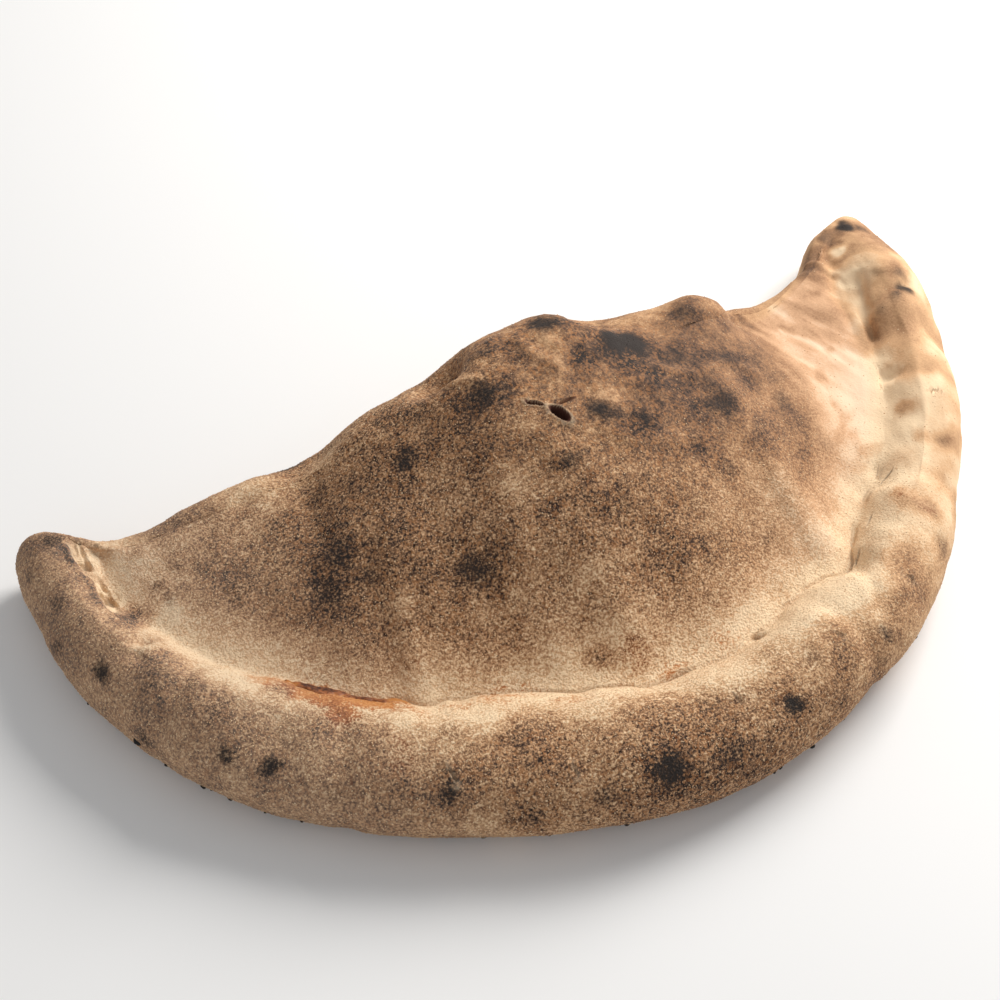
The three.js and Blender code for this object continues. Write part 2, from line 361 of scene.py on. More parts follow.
class Crust:
    """The crust as loose arrays: points in millimetres, faces and named fields."""

    def __init__(self):
        columns = Columns(COLUMN_COUNT, wander=0.8)
        rows = [("base", 0.0)]
        for zone, steps in ZONES.items():
            rows += [(zone, step / steps) for step in range(1, steps + 1)]
        grid, past_seam = [], []
        for zone, share in rows:
            inset, crimped, folded = getattr(columns, zone)(share)
            plan = np.stack((columns.x, columns.y), axis=1) + columns.inward * inset[:, None]
            height = mix(folded, crimped, columns.crimp)
            grid.append(np.column_stack((plan, height)))
            past_seam.append(inset - columns.width)
        grid = self.softened(np.array(grid), rows, columns)
        self.fields = {
            "past_seam": np.concatenate(past_seam),
            "zone": np.repeat([list(ZONES).index(zone) for zone, _ in rows], COLUMN_COUNT),
        }
        for name in ("station", "crimp", "toast", "pale", "blush"):
            self.fields[name] = np.tile(getattr(columns, name), len(rows))
        faces, kept = self.zipped(len(rows))
        self.fields = {name: values[kept] for name, values in self.fields.items()}
        self.mesh = bpy.data.meshes.new("crust")
        self.mesh.from_pydata(np.concatenate(grid)[kept], [], faces)
        self.mesh.update()

    @staticmethod
    def softened(grid, rows, columns):
        """Smooths the rows on both sides of the seam where it is only a valley."""
        inside = [SOFTENED.get(zone, (1, 0)) for zone, _ in rows]
        moved = [low <= share <= high for (_, share), (low, high) in zip(rows, inside)]
        first, last = moved.index(True), len(moved) - moved[::-1].index(True)
        share = 0.5 * (columns.soft * columns.crimp).clip(0, 1)[:, None]
        for _ in range(SOFTENING_ROUNDS):
            middle = (grid[first - 1 : last - 1] + grid[first + 1 : last + 1]) / 2
            grid[first:last] = mix(grid[first:last], middle, share)
        return grid

    @staticmethod
    def zipped(row_count):
        """Quads between the rows, with the front and the back joined along both ridge lines."""
        number = np.arange(row_count * COLUMN_COUNT).reshape(row_count, COLUMN_COUNT)
        mirror = -np.arange(COLUMN_COUNT) % COLUMN_COUNT
        for row in (0, row_count - 1):
            number[row] = np.minimum(number[row], number[row][mirror])
        here, above = number[:-1], number[1:]
        beside, across = np.roll(here, -1, axis=1), np.roll(above, -1, axis=1)
        quads = np.stack((here, beside, across, above), axis=2).reshape(-1, 4)
        kept, renumbered = np.unique(quads, return_inverse=True)
        return renumbered.reshape(-1, 4), kept

    @property
    def points(self):
        return vectors(self.mesh.vertices, "co")

    @points.setter
    def points(self, points):
        self.mesh.vertices.foreach_set("co", points.astype(np.float32).ravel())
        self.mesh.update()

    def push(self, rise):
        """Moves the points out along the surface."""
        normals = vectors(self.mesh.vertex_normals, "vector")
        self.points = self.points + normals * rise[:, None]

    def refine(self, near, cuts):
        """Splits every edge between two marked points, and carries the fields along."""
        self.write_fields(self.fields)
        solid = bmesh.new()
        solid.from_mesh(self.mesh)
        solid.verts.ensure_lookup_table()
        edges = {edge for number in np.flatnonzero(near) for edge in solid.verts[number].link_edges}
        inside = [edge for edge in edges if all(near[vert.index] for vert in edge.verts)]
        bmesh.ops.subdivide_edges(solid, edges=inside, cuts=cuts, use_grid_fill=True)
        many = [face for face in solid.faces if len(face.verts) > 4]
        bmesh.ops.triangulate(solid, faces=many)
        solid.to_mesh(self.mesh)
        solid.free()
        for name in self.fields:
            self.fields[name] = painted(self.mesh, name)
            self.mesh.attributes.remove(self.mesh.attributes[name])

    def write_fields(self, names):
        for name in names:
            layer = self.mesh.attributes.new(name, "FLOAT", "POINT")
            layer.data.foreach_set("value", self.fields[name].astype(np.float32))

    def finished(self, names):
        """The mesh in metres over the part's origin, with the named fields on its points."""
        self.points = (self.points - np.array((*FOOTPRINT_MIDDLE, 0.0))) * MM
        self.mesh.shade_smooth()
        self.write_fields(names)
        return self.mesh


def lump_rise(points):
    total = np.zeros(len(points))
    for lump in LUMPS.values():
        total += lump.rise * bell(away_from(lump.at, points) / lump.radius)
    return total


def uneven_rise(points):
    return sum(rise * noise(points, size) for size, rise in UNEVENNESS)


# ---- Relief -------------------------------------------------------------------------------------


class Slit(NamedTuple):
    """A hole or crack: half its length and width, its depth, its turn and its lip's rise."""

    at: tuple
    half: tuple
    depth: float
    turn: float
    lip: float
    # dark: how much painted shade fills its inside, with sauce stain deep in the steam holes
    dark: float  # how dark its inside is
    bare: float  # how pale its torn lip is


SLITS = {
    "larger steam hole": Slit((-6.2, 15.4, 54), (3.1, 1.25), 3.0, -58, 0.35, 1.0, 0.4),
    "smaller steam hole": Slit((-10.8, 21.0, 55), (2.3, 0.8), 2.2, -44, 0.35, 1.0, 0.4),
    "crack beside the holes": Slit((-2.6, 18.0, 54.5), (3.0, 0.4), 1.2, 4, 0.2, 0.8, 0.0),
}
CRACKS = {
    "front, left": Slit((-77, -53, 23), (2.6, 0.4), 0.8, -93, 0.4, 0.35, 0.4),
    "front": Slit((-50, -67, 24), (2.1, 0.35), 0.7, -92, 0.3, 0.3, 0.3),
    "front, right": Slit((-4, -70, 25.5), (1.8, 0.3), 0.7, -84, 0.2, 0.3, 0.2),
    "right front": Slit((30, -67, 26.6), (2.2, 0.3), 0.7, -60, 0.2, 0.3, 0.2),
    "right": Slit((59, -59, 24), (2.4, 0.3), 0.7, -50, 0.2, 0.3, 0.2),
    "right rim, upper": Slit((108, -7.5, 27), (2.0, 0.3), 0.6, -35, 0.2, 0.2, 0.2),
    "upper end of the right seam": Slit((79, -24, 18), (2.4, 0.26), 0.5, 12, 0.1, 0.35, 0.1),
    "right seam, middle": Slit((65, -34.5, 19), (2.2, 0.24), 0.5, 34, 0.1, 0.3, 0.1),
    "right seam, lower": Slit((55, -43, 18.8), (2.2, 0.24), 0.5, 42, 0.1, 0.3, 0.1),
}
TEAR_PATH = ((-130, 67), (-130.5, 62), (-130, 56), (-129, 51), (-129, 45), (-129.5, 39))
TEAR_HALF_WIDTH = 1.9
TEAR_DEPTH = 1.3
TEAR_STEP = 0.6  # how far the tip's side of the tear stands over the other
TEAR_ENDS = ((37, 41), (64, 68))  # where it fades out, along Y
TEAR_BRIDGE = (55.5, 1.5)  # dough that still crosses it: its middle and half length along Y
REFINED_MARGIN = 1.7  # faces this far outside a slit are made finer too
REFINED_MARKS = 1.22  # and those out to this share of a sauce mark's size
REFINED_TEAR = 1.6  # or of the tear's half width
REFINED_DENTS = 2.2  # or of a small dent's radius
SLIT_CUTS = 3  # how often each edge is cut round a slit
LIP_CUTS = 2  # and round a mark, the tear or a small dent
OFF_BASE = 0.5  # zones past this one aren't the flat base
UPPER = 1.5  # zones past this one lie above the edge's widest line
ON_CROWN = 3.5  # zones past this one are the crown


class Crease(NamedTuple):
    """A soft fold along a path in plan, or a ridge if its depth is negative."""

    path: tuple
    width: float
    depth: float


CREASES = {
    "inner edge of the blister": Crease(((121, 47), (117.5, 39), (114, 31), (111, 24)), 1.8, 1.9),
    "second groove": Crease(((120, 58), (114, 49), (109.5, 38), (106, 27)), 1.6, 0.5),
    "orange fold": Crease(((112, 63), (116, 59), (118.5, 54)), 1.3, -0.5),
    "below the orange fold": Crease(((110, 61), (114, 57), (116.5, 53)), 1.4, 0.3),
    "between the blister and the rim": Crease(((122, 30), (114, 16), (107, 8)), 2.2, 0.5),
    "pinch across the right rim": Crease(((103, 8), (109, 2), (119, 0)), 2.2, 0.6),
    "second pinch": Crease(((93, -9), (101, -12), (112, -18)), 2.6, 0.3),
    "third pinch": Crease(((80, -27), (88, -33), (97, -41)), 2.6, 0.3),
    "fourth pinch": Crease(((66, -40), (75, -50), (84, -58)), 2.2, 0.3),
    "round the lower blister": Crease(((76, -27), (79, -33), (79, -40), (78, -46)), 1.3, 0.4),
    "branch of the seam": Crease(((50, -46), (46, -54), (44, -61)), 1.0, -0.6),
    "beside that branch": Crease(((52, -47), (48, -55), (46, -62)), 1.1, 0.6),
    "filled valley along the right seam": Crease(
        ((112, 32), (107, 18), (99, 3), (90, -11), (83, -22), (77, -29)), 9.0, -2.4
    ),
    "flat crest of the right rim": Crease(((118, 20), (109, 0), (100, -14), (90, -27)), 8.0, 1.7),
    "under the lobe": Crease(((131, 35), (124, 34.5), (117, 33)), 1.4, 1.2),
    "left rim, upper": Crease(((-139, 24), (-133, 22), (-127, 24)), 2.4, 0.9),
    "left rim, lower": Crease(((-133, -2), (-126, 2), (-118, 9)), 2.6, 1.1),
    "front rim, left": Crease(((-104, -48), (-99, -37), (-93, -26)), 3.0, 0.9),
    "front rim, right": Crease(((38, -80), (36, -68), (33, -57)), 2.8, 0.9),
    "step on the left of the crown": Crease(((-70, 54), (-71, 42), (-74, 28)), 5.0, 1.3),
    "ridge by the left scorch": Crease(((-28, 44), (-24, 39), (-20, 36)), 1.4, -0.9),
    "first ridge on top": Crease(((-4, 44), (-3, 36), (0, 30)), 1.5, -1.0),
    "second ridge on top": Crease(((3, 39), (5, 33), (1, 27)), 1.3, -0.8),
    "ridge over the right shoulder": Crease(((27, 22), (38, 17), (54, 21), (60, 16)), 1.4, -0.9),
    "ridge below the holes": Crease(((3, 8), (10, 1), (26, -1)), 1.6, -0.5),
}
RIDGE_PALENESS = 0.09  # how much less brown a ridge is than the crust beside it


class Dent(NamedTuple):
    """A small round hollow, or a blister if its depth is negative."""

    at: tuple
    radius: float
    depth: float
    # dark: how much painted shade fills its inside
    dark: float = 0.0  # how dark its inside is


DENTS = {
    "upper pit in the tear": Dent((-130.3, 58, 19), 1.4, 1.7, 0.35),
    "lower pit in the tear": Dent((-128.8, 46, 18), 1.9, 2.0, 0.4),
    "first dimple by the left seam": Dent((-127, 22.5, 22), 2.2, 1.2, 0.12),
    "second dimple by the left seam": Dent((-130.3, 17.3, 25), 2.2, 1.2, 0.12),
    "pit by the right seam": Dent((16.5, -51.2, 17.4), 1.3, 1.2, 0.4),
    "hollow in the right rim": Dent((104.3, 6.1, 23), 2.4, 1.1),
    "upper half of the blister": Dent((122, 27, 25), 8.5, -2.3),
    "lower half of the blister": Dent((113, 13, 24), 8.0, -1.8),
    "lobe above the blister": Dent((128, 42, 25), 6.0, -1.2),
    "blister by the pinch": Dent((74, -42, 25), 8.0, -0.4),
    "dip behind the left wing": Dent((-63, 56, 30), 11.0, 5.0),
    "dip left of the top": Dent((-26, 50, 49), 8.0, 5.0),
    "dip beyond it": Dent((-23, 55, 46), 6.0, 2.2),
    "dip right of the top": Dent((22, 49, 51), 9.0, 4.2),
    "dip on its right": Dent((30, 54, 45), 6.0, 1.6),
    "dip beside the right shoulder": Dent((68, 52, 33), 7.0, 2.2),
    "dip behind the right wing": Dent((109, 65, 18), 8.0, 2.6),
    "dip in the right outline": Dent((114, -14, 13), 10.0, 2.0),
    "swelling in the right outline": Dent((132, 19, 13), 8.0, -1.5),
    "bubble on the left of the crown": Dent((-58, 12, 38), 7.0, -0.8),
    "bubble on the crown": Dent((22, 18, 50), 8.0, -0.9),
    "bubble on the right of the crown": Dent((48, 8, 40), 7.0, -0.8),
    "bubble on the front of the crown": Dent((-30, -8, 38), 9.0, -0.7),
}
SMALL_DENT = 2.5  # a dent smaller than this is found in plan, and its faces are made finer


class Sag(NamedTuple):
    """A place in plan that lies lower, by a share of its height."""

    at: tuple
    radius: float
    share: float


SAGS = {
    "left notch": Sag((-117, 64), 15.0, 0.17),
    "rise beside it": Sag((-96, 62), 11.0, -0.08),
    "left of the top": Sag((-25, 53), 9.0, 0.085),
    "right of the top": Sag((25, 50), 8.0, 0.04),
}
PUCKERS = {"at": (8, 34, 55), "reach": 34.0, "spacing": 8.0, "rise": 0.9}
WRINKLES = {"at": (92, 34, 22), "reach": 22.0, "turn": -62.0, "spacing": 2.2, "rise": 0.25}
WRINKLE_LENGTH = 7  # how many times longer a wrinkle is than it is wide
SWELLS = (10, 2, 50)  # size, octaves and seed of the crust's low swells
FINE_SWELLS = (4, 2, 60)  # and of its finer ones


def dent_share(dent, points):
    """Distance from a dent's middle, as a share of its radius."""
    flat = (1, 1, 0) if dent.radius < SMALL_DENT else (1, 1, 1)
    return np.linalg.norm((points - np.array(dent.at)) * flat, axis=1) / dent.radius


def slit_share(slit, points, ragged=0.12):
    """Distance from a slit's middle, as a share of the way to its edge."""
    along, across = along_and_across(points - np.array(slit.at), slit.turn)
    across = across + ragged * 4 * slit.half[1] * noise(points, 3.1, 42)
    share = np.hypot(along / slit.half[0], across / slit.half[1])
    return share * (1 + ragged * noise(points, 1.3, 41))


def beside_path(path, points):
    """Signed distance in plan from a path, positive on its left."""
    path = np.array(path, float)
    nearest, side = np.full(len(points), np.inf), np.ones(len(points))
    for start, end in zip(path[:-1], path[1:]):
        run = end - start
        along = np.clip(((points[:, :2] - start) @ run) / (run @ run), 0, 1)
        away = points[:, :2] - start - along[:, None] * run
        distance = np.hypot(away[:, 0], away[:, 1])
        turned = run[0] * away[:, 1] - run[1] * away[:, 0]
        side = np.where(distance < nearest, np.where(turned < 0, -1, 1), side)
        nearest = np.minimum(nearest, distance)
    return side * nearest


def tear_share(points):
    """Distance from the tear's middle line, as a share of its half width."""
    wander = 0.35 * noise(points, 4, 44) + 0.2 * noise(points, 1.7, 45)
    return beside_path(TEAR_PATH, points) / TEAR_HALF_WIDTH + wander


def tear_fade(points):
    """How open the tear is: 1 along it, less where dough crosses it, and 0 beyond its ends."""
    near, far = TEAR_ENDS
    middle, half = TEAR_BRIDGE
    open_here = 1 - 0.8 * bell((points[:, 1] - middle) / half)
    return open_here * smoothstep(*near, points[:, 1]) * (1 - smoothstep(*far, points[:, 1]))


def refine_details(crust):
    """Splits the faces round every slit and along the stained lip, for walls that are steep."""
    points, fields = crust.points, crust.fields
    near = np.zeros(len(points), bool)
    for slit in (*SLITS.values(), *CRACKS.values()):
        wider = slit._replace(half=tuple(half + REFINED_MARGIN for half in slit.half))
        near |= slit_share(wider, points, 0) < 1
    crust.refine(near & (fields["zone"] > UPPER), SLIT_CUTS)
    points, fields = crust.points, crust.fields
    lip = np.zeros(len(points), bool)
    for mark in SAUCE_MARKS.values():
        lip |= mark_share(mark, crust) < REFINED_MARKS
    lip |= np.abs(tear_share(points)) < REFINED_TEAR
    for dent in (dent for dent in DENTS.values() if dent.radius < SMALL_DENT):
        lip |= dent_share(dent, points) < REFINED_DENTS
    crust.refine(lip & (fields["zone"] > UPPER), LIP_CUTS)


def wrinkles(points):
    """Fine folds, between -1 and 1, where the dough was stretched towards the right tip."""
    along, across = along_and_across(points - np.array(WRINKLES["at"]), WRINKLES["turn"])
    stretched = np.column_stack((along / WRINKLE_LENGTH, across, 0 * along))
    fade = bell(np.hypot(along, across) / WRINKLES["reach"])
    return fade * fractal(stretched, WRINKLES["spacing"], 2, 80)


def raise_relief(crust):
    """Lumps, wrinkles, blisters and slits, each pushed out along the surface."""
    points = crust.points
    upper = crust.fields["zone"] > UPPER
    fade = smoothstep(0, RELIEF_START, points[:, 2])
    crust.push(fade * (lump_rise(points) + uneven_rise(points)))
    points = crust.points
    for sag in SAGS.values():
        away = np.linalg.norm(points[:, :2] - np.array(sag.at), axis=1) / sag.radius
        points[:, 2] *= 1 - sag.share * bell(away)
    crust.points = points
    rise = 0.55 * fractal(points, *SWELLS) + WRINKLES["rise"] * wrinkles(points)
    away = away_from(PUCKERS["at"], points) / PUCKERS["reach"]
    rise += PUCKERS["rise"] * np.exp(-(away**4)) * fractal(points, PUCKERS["spacing"], 2, 52)
    for crease in CREASES.values():
        rise -= crease.depth * bell(beside_path(crease.path, points) / crease.width)
    for dent in DENTS.values():
        rise -= dent.depth * bell(dent_share(dent, points))
    crust.push(fade * rise)
    points = crust.points
    crust.push(fade * (0.2 * fractal(points, *FINE_SWELLS) + 0.1 * noise(points, 1.6, 65)))
    points = crust.points
    sink = np.zeros(len(points))
    for name, slit in {**SLITS, **CRACKS}.items():
        share = slit_share(slit, points)
        crust.fields[name] = share
        sink -= upper * slit.depth * (1 - smoothstep(0.6, 1.0, share))
        sink += upper * slit.lip * bell((share - 1.25) / 0.25)
    share = crust.fields["tear"] = tear_share(points)
    fibres = 1 + 0.5 * noise(points * (1, 0.25, 1), 0.9, 46)
    torn = upper * tear_fade(points)
    sink -= torn * TEAR_DEPTH * fibres * (1 - smoothstep(0.6, 1.1, np.abs(share)))
    sink += torn * TEAR_STEP * bell((share + 1.5) / 0.6)
    crust.push(sink)
    points = crust.points
    points[:, 2] = np.maximum(points[:, 2], 0)
    crust.points = points


# ---- Browning -----------------------------------------------------------------------------------

# The crown is browned inside this outline in plan, and pale between it and the seam.
BROWNED_OUTLINE = (
    (75, 56), (79, 42), (75.5, 22), (73.5, -1), (67.5, -11), (55, -21), (39, -30), (18, -35), (-6, -36),
    (-32, -31), (-56, -16), (-84, -1), (-106, 28), (-124, 52), (-132, 75), (-128, 100), (76, 100),
)
BROWNED_STEPS = 160
SOFT_EDGE, CRISP_EDGE = 10, 6  # how wide the browning's edge is at the front and on the right

# The noise that makes the browning uneven: size in millimetres, octaves and seed.
BLOTCH = (15, 4, 20)
FLECK = (6, 3, 30)
MOTTLE = (8, 3, 35)

# How brown a place is, and how much the blotches and the flecks change it.
CROWN_BROWN = (0.51, 0.18, 0.22)
BASE_BROWN = (0.42, 0.24, 0.12)

SMOOTH_TOP = {"at": (22, 42, 50), "reach": (18, 76)}  # where the crown's grain is thin

# Scorched places, by region: x, y, z and reach in millimetres, and how dark each is.
SPOTS = {
    "top of the crown": (
        (-21, 31, 55, 5.3, 0.78), (-25, 30, 54, 4.4, 0.5), (-16, 30, 56, 4.0, 0.5),
        (22, 32, 53.5, 6.6, 1.3), (28, 31.5, 51, 5.8, 1.2), (14, 28, 55, 5.5, 0.5),
        (37, 23, 46, 6.0, 0.5), (-28, 24, 51, 5.0, 0.35), (-37, 28, 47, 4.0, 0.35),
        (-45, 30, 44, 3.6, 0.75), (-36, 41, 48, 5.0, 0.45), (-47, 45, 42, 5.0, 0.4),
        (-14, 45, 56, 5.5, 0.5), (-6, 39, 57, 4.5, 0.4), (6, 46, 57, 6.5, 0.8),
        (49, 40, 47, 5.0, 0.6), (53, 21, 40, 6.0, 0.5), (64, 21, 35, 4.5, 0.35),
    ),
    "front of the crown": (
        (-43, -6, 32, 6.5, 0.75), (-38, -5, 35, 4.0, 0.5), (-79, 11, 26, 6.5, 0.6),
        (-72, 18, 31, 6.5, 0.6), (-68, 9, 30, 5.5, 0.55), (5, 11, 52, 5.4, 0.95),
        (24, 12, 49, 4.2, 0.5), (15, 6, 48, 3.4, 0.7), (-9, 3, 48, 3.8, 0.6),
        (-4, -12, 41, 5.5, 0.35), (7, -9, 43, 4.0, 0.35), (40, 7, 42, 6.0, 0.7),
        (41, 13, 43, 4.5, 0.5), (64, 8, 31, 4.5, 0.5), (46, -4, 35, 4.5, 0.35),
        (33, -11, 36, 3.6, 0.5), (26, -2, 42, 4.0, 0.45), (18, -16, 36, 4.0, 0.35),
        (15, -25, 30, 4.0, 0.35), (35, -28, 24, 4.5, 0.35), (71, -8, 22, 3.6, 0.25),
        (13, 2, 47, 3.4, 0.4), (11, -37, 22, 4.0, 0.2), (-25, -37, 19, 2.6, 0.4),
    ),
    "left wing": (
        (-68, 41, 31, 4.5, 0.45), (-59, 36, 37, 4.5, 0.4), (-52, 35, 40, 3.0, 0.35),
        (-99, 27, 22, 4.5, 0.35), (-101, 56, 23, 3.0, 0.35), (-96, 49, 24, 3.0, 0.25),
        (-117, 41, 19, 3.0, 0.4), (-126, 37, 18, 3.0, 0.5), (-114, 35, 19, 3.2, 0.35),
    ),
    "left rim": (
        (-143, 47, 21, 3.2, 0.5), (-146, 37, 16, 3.2, 0.45), (-141, 20, 21, 3.6, 0.85),
        (-132, 9, 24, 4.0, 0.3), (-121, -8, 26, 5.0, 0.35), (-123, -19, 20, 3.0, 0.8),
        (-115, -25.3, 20.5, 3.3, 0.95), (-138, 1, 13, 3.4, 0.5), (-137, 69, 22, 4.0, 0.7),
        (-145, 62, 18, 3.6, 0.4), (-104, -40, 19, 4.0, 0.35),
    ),
    "front rim": (
        (-79, -55, 21, 3.8, 0.7), (-72, -43, 26, 4.0, 0.35), (-59, -52, 25, 4.2, 0.4),
        (-57, -61, 24, 3.6, 0.35), (-46, -75, 19, 3.2, 0.6), (-53, -75, 15, 3.0, 0.35),
        (-28, -77, 22, 5.0, 1.0), (-31, -76, 22, 3.6, 0.7), (-10, -81, 20, 3.2, 0.7),
        (-15, -81, 19, 3.2, 0.45), (-11, -68, 25, 4.2, 0.35), (-3, -69, 25, 4.0, 0.35),
        (10, -77, 22, 3.6, 0.85), (24, -77, 21, 2.8, 0.35), (29, -74, 23, 3.0, 0.4),
        (21, -68, 26, 4.0, 0.45), (44, -70, 22, 3.0, 0.75), (40, -74, 18, 3.0, 0.35),
        (59, -60, 24, 3.0, 0.35), (76, -51, 20, 4.0, 0.45), (12, -62, 26, 3.6, 0.25),
    ),
    "right rim and tip": (
        (98, -7, 22, 3.0, 0.35), (95, -21, 25, 3.0, 0.3), (100, -24, 24, 3.2, 0.35),
        (93, -33, 21, 4.0, 0.3), (128, 33, 25, 3.2, 0.9), (123, 31, 26, 3.4, 0.7),
        (118, 30, 25, 3.0, 0.5), (114, 27, 22, 2.4, 0.4), (112, 22, 21, 2.6, 0.3),
        (131, 39, 25, 3.2, 0.75), (126, 43, 25, 3.2, 0.45), (134, 71, 20, 3.6, 0.9),
        (137, 68, 20, 3.0, 0.6), (126, 70, 19, 4.2, 0.5), (123, 8, 25, 2.2, 0.6),
    ),
    "fold": (
        (74, 57, 20, 6, 0.7), (22, 66, 30, 7, 0.8), (-18, 66, 34, 6, 0.6),
        (-66, 64, 22, 6, 0.75), (-104, 64, 16, 5, 0.6), (45, 60, 14, 5, 0.5),
    ),
}


class Patch(NamedTuple):
    """A broad place that is browner than the rest, or paler if its change is negative."""

    at: tuple
    radius: float
    change: float


PATCHES = {
    "left of the crown": Patch((-66, 20, 38), 24, 0.18),
    "step on the left": Patch((-62, 51, 32), 8, -0.22),
    "round the left scorch": Patch((-24, 27, 53), 16, 0.07),
    "back of the top": Patch((0, 44, 56), 26, 0.12),
    "over the right shoulder": Patch((56, 32, 43), 12, 0.2),
    "below the holes": Patch((15, -3, 45), 14, 0.13),
    "back of the left wing": Patch((-84, 57, 26), 10, -0.25),
    "over the crown": Patch((30, 16, 48), 23, 0.28),
    "right of the crown": Patch((57, 13, 37), 5, 0.2),
    "pale streaks on top": Patch((3, 40, 57), 7, -0.28),
    "behind the holes": Patch((6, 26, 56), 6, 0.16),
    "front of the crown": Patch((-18, -27, 28), 16, -0.1),
    "crown, right front": Patch((36, -20, 28), 18, -0.14),
    "skirt, middle": Patch((-34, -34, 19), 10, -0.1),
    "skirt, above the streak": Patch((-16, -33, 20), 6, -0.15),
    "skirt, right end": Patch((19, -47, 17.5), 7, -0.2),
    "skirt's right corner": Patch((45, -43.5, 18), 6, -0.18),
    "skirt, left": Patch((-76, -11, 19), 12, 0.12),
    "skirt, left of middle": Patch((-55, -23, 20), 10, 0.14),
    "foot of the front rim": Patch((-20, -78, 13), 24, 0.08),
    "foot, left of that": Patch((-62, -69, 15), 8, 0.18),
    "front rim, right of middle": Patch((-5, -74, 22), 9, -0.12),
    "reddish streak by the seam": Patch((-15, -41, 18), 6, 0.2),
    "its left end": Patch((-25, -37, 19.5), 4.5, 0.2),
    "beside the tear": Patch((-122, 48, 18), 10, -0.2),
    "notch beside the tear": Patch((-121, 59, 20), 9, -0.35),
    "below the tear": Patch((-126, 36, 18), 6, 0.5),
    "left end of that place": Patch((-129, 33, 21), 5.5, 0.36),
    "edge of the tear": Patch((-133.5, 62, 21), 5, 0.3),
    "right of the tear": Patch((-108, 46, 21), 12, -0.2),
    "strip by the left seam": Patch((-115.5, 31.5, 18), 5, -0.25),
    "left wing, middle": Patch((-92, 47, 25), 10, -0.06),
    "left wing, lower": Patch((-95, 36, 24), 8, 0.1),
    "left tip": Patch((-139, 56, 22), 10, -0.1),
    "blister on the right rim": Patch((121, 27, 25), 10, 0.3),
    "blister's inner side": Patch((115, 24, 23), 6, 0.12),
    "blister's lower half": Patch((115, 15, 25), 8, 0.3),
    "blister's lower end": Patch((110, 4, 25), 7, 0.3),
    "between the lobe and the blister": Patch((122, 36, 25), 6, 0.25),
    "lobe above the blister": Patch((130, 41, 25), 5.5, 0.3),
    # Browner on the outer side of the right rim: partly its own browning, partly painted shade that
    # tones down the key light on this sunlit slope.
    "outer side of the right rim": Patch((129, 20, 19), 10, 0.24),
    "outer side, middle": Patch((117, 0, 22), 7, 0.2),
    "outer side, by the bend": Patch((105, -21, 20), 6, 0.26),
    "outer side, lower": Patch((114, -12, 16), 9, 0.24),
    "blob on the right rim": Patch((100, -5, 24), 6, 0.08),
    "strip by the right seam": Patch((85, -23, 22), 4.5, 0.14),
    # Browner in the valley beside the blister, where shade falls: painted shade.
    "valley beside the blister": Patch((108, 23, 20), 6.5, 0.3),
    "right rim, first patch": Patch((99, -8, 23), 3.8, 0.1),
    "right rim, second patch": Patch((95, -20, 25), 3.5, 0.22),
    "right rim, third patch": Patch((101, -24, 24), 3.4, 0.3),
    "right rim, outer patch": Patch((109, -22, 15), 6, 0.1),
    "right rim, low patch": Patch((94, -42, 14), 8, 0.16),
    "lower right rim": Patch((38, -59, 26), 13, -0.26),
    "corner of the right rim": Patch((62, -58, 22), 9, 0.2),
    "lower blister": Patch((68, -44, 25), 7, -0.06),
    "orange arc over it": Patch((75, -36, 24.5), 4.5, 0.3),
    "right end of the arc": Patch((79, -42, 24.5), 4.5, 0.3),
    "tip's inner side": Patch((118, 61, 20), 9, 0.36),
    "right tip": Patch((137, 60, 20), 15, 0.27),
    "tip's back edge": Patch((127, 69, 19), 6, 0.3),
    "pale hollow in the tip": Patch((125, 61, 21), 4.5, -0.4),
    "upper end of the right seam": Patch((121, 49, 21), 4, -0.35),
    "orange fold": Patch((113, 54, 21), 6, 0.22),
    "upper valley": Patch((110, 38, 20), 5, 0.2),
    "right wing's fold": Patch((106, 48, 22), 15, 0.22),
    "right wing's back": Patch((81, 47, 24), 9, 0.16),
    "right wing": Patch((90, 28, 23), 18, 0.12),
    "right wing by the fold": Patch((101, 38, 22), 12, 0.1),
    "pale top of the front rim": Patch((-79, -41, 25), 10, -0.24),
    "pale top, middle": Patch((-31, -56, 25), 9, -0.25),
    "pale top between them": Patch((-66, -46, 25), 8, -0.2),
    "first pale blotch on the left": Patch((-129, 20, 24), 5, -0.3),
    "second pale blotch on the left": Patch((-119, 15, 21), 7, -0.22),
    "third pale blotch on the left": Patch((-112, 0, 24), 9, -0.22),
    "pale top of the left front rim": Patch((-105, -13, 25), 11, -0.2),
    "scorched lip by the sauce": Patch((-102, -8.5, 23), 5, 0.4),
}


class Mark(NamedTuple):
    """A stain by the seam: between stations, past the lip, half its size, and its strength."""

    station: float
    past: float
    half: tuple
    strength: float


STATION_STEP = 64  # millimetres along the seam between the front stations
OIL_MARKS = {
    "lip": Mark(10.55, -3.2, (19, 6.0), 1.0),
    "left of the drip": Mark(10.35, -5.5, (9, 6.5), 1.0),
    "left end of the lip": Mark(10.18, -4.8, (11, 5.5), 0.6),
    "amber drip": Mark(10.5, -10, (6.5, 8.0), 1.0),
    "below the lip": Mark(10.8, -6, (9, 4.0), 0.5),
    "right end of the lip": Mark(11.1, -4.6, (14, 4.0), 0.5),
    "front": Mark(11.22, -2.0, (10, 2.6), 0.6),
    "front, below": Mark(11.5, -5.2, (8, 3.6), 0.42),
    "above the front": Mark(11.3, 2.6, (9, 2.0), 0.45),
    "above the dark crack": Mark(11.97, 3.4, (6, 2.6), 0.6),
    "hollow": Mark(12.25, 5, (12, 4), 0.35),
}
BURNT_MARKS = {
    "crust of sauce": Mark(10.43, -2.2, (8.5, 3.4), 1.0),
    "its thin right end": Mark(10.6, -1.8, (9, 2.8), 0.8),
}
SAUCE_MARKS = {
    "crust": Mark(10.43, -2.0, (9, 3.0), 1.0),
    "its thin right end": Mark(10.68, -1.2, (12, 1.4), 0.6),
}
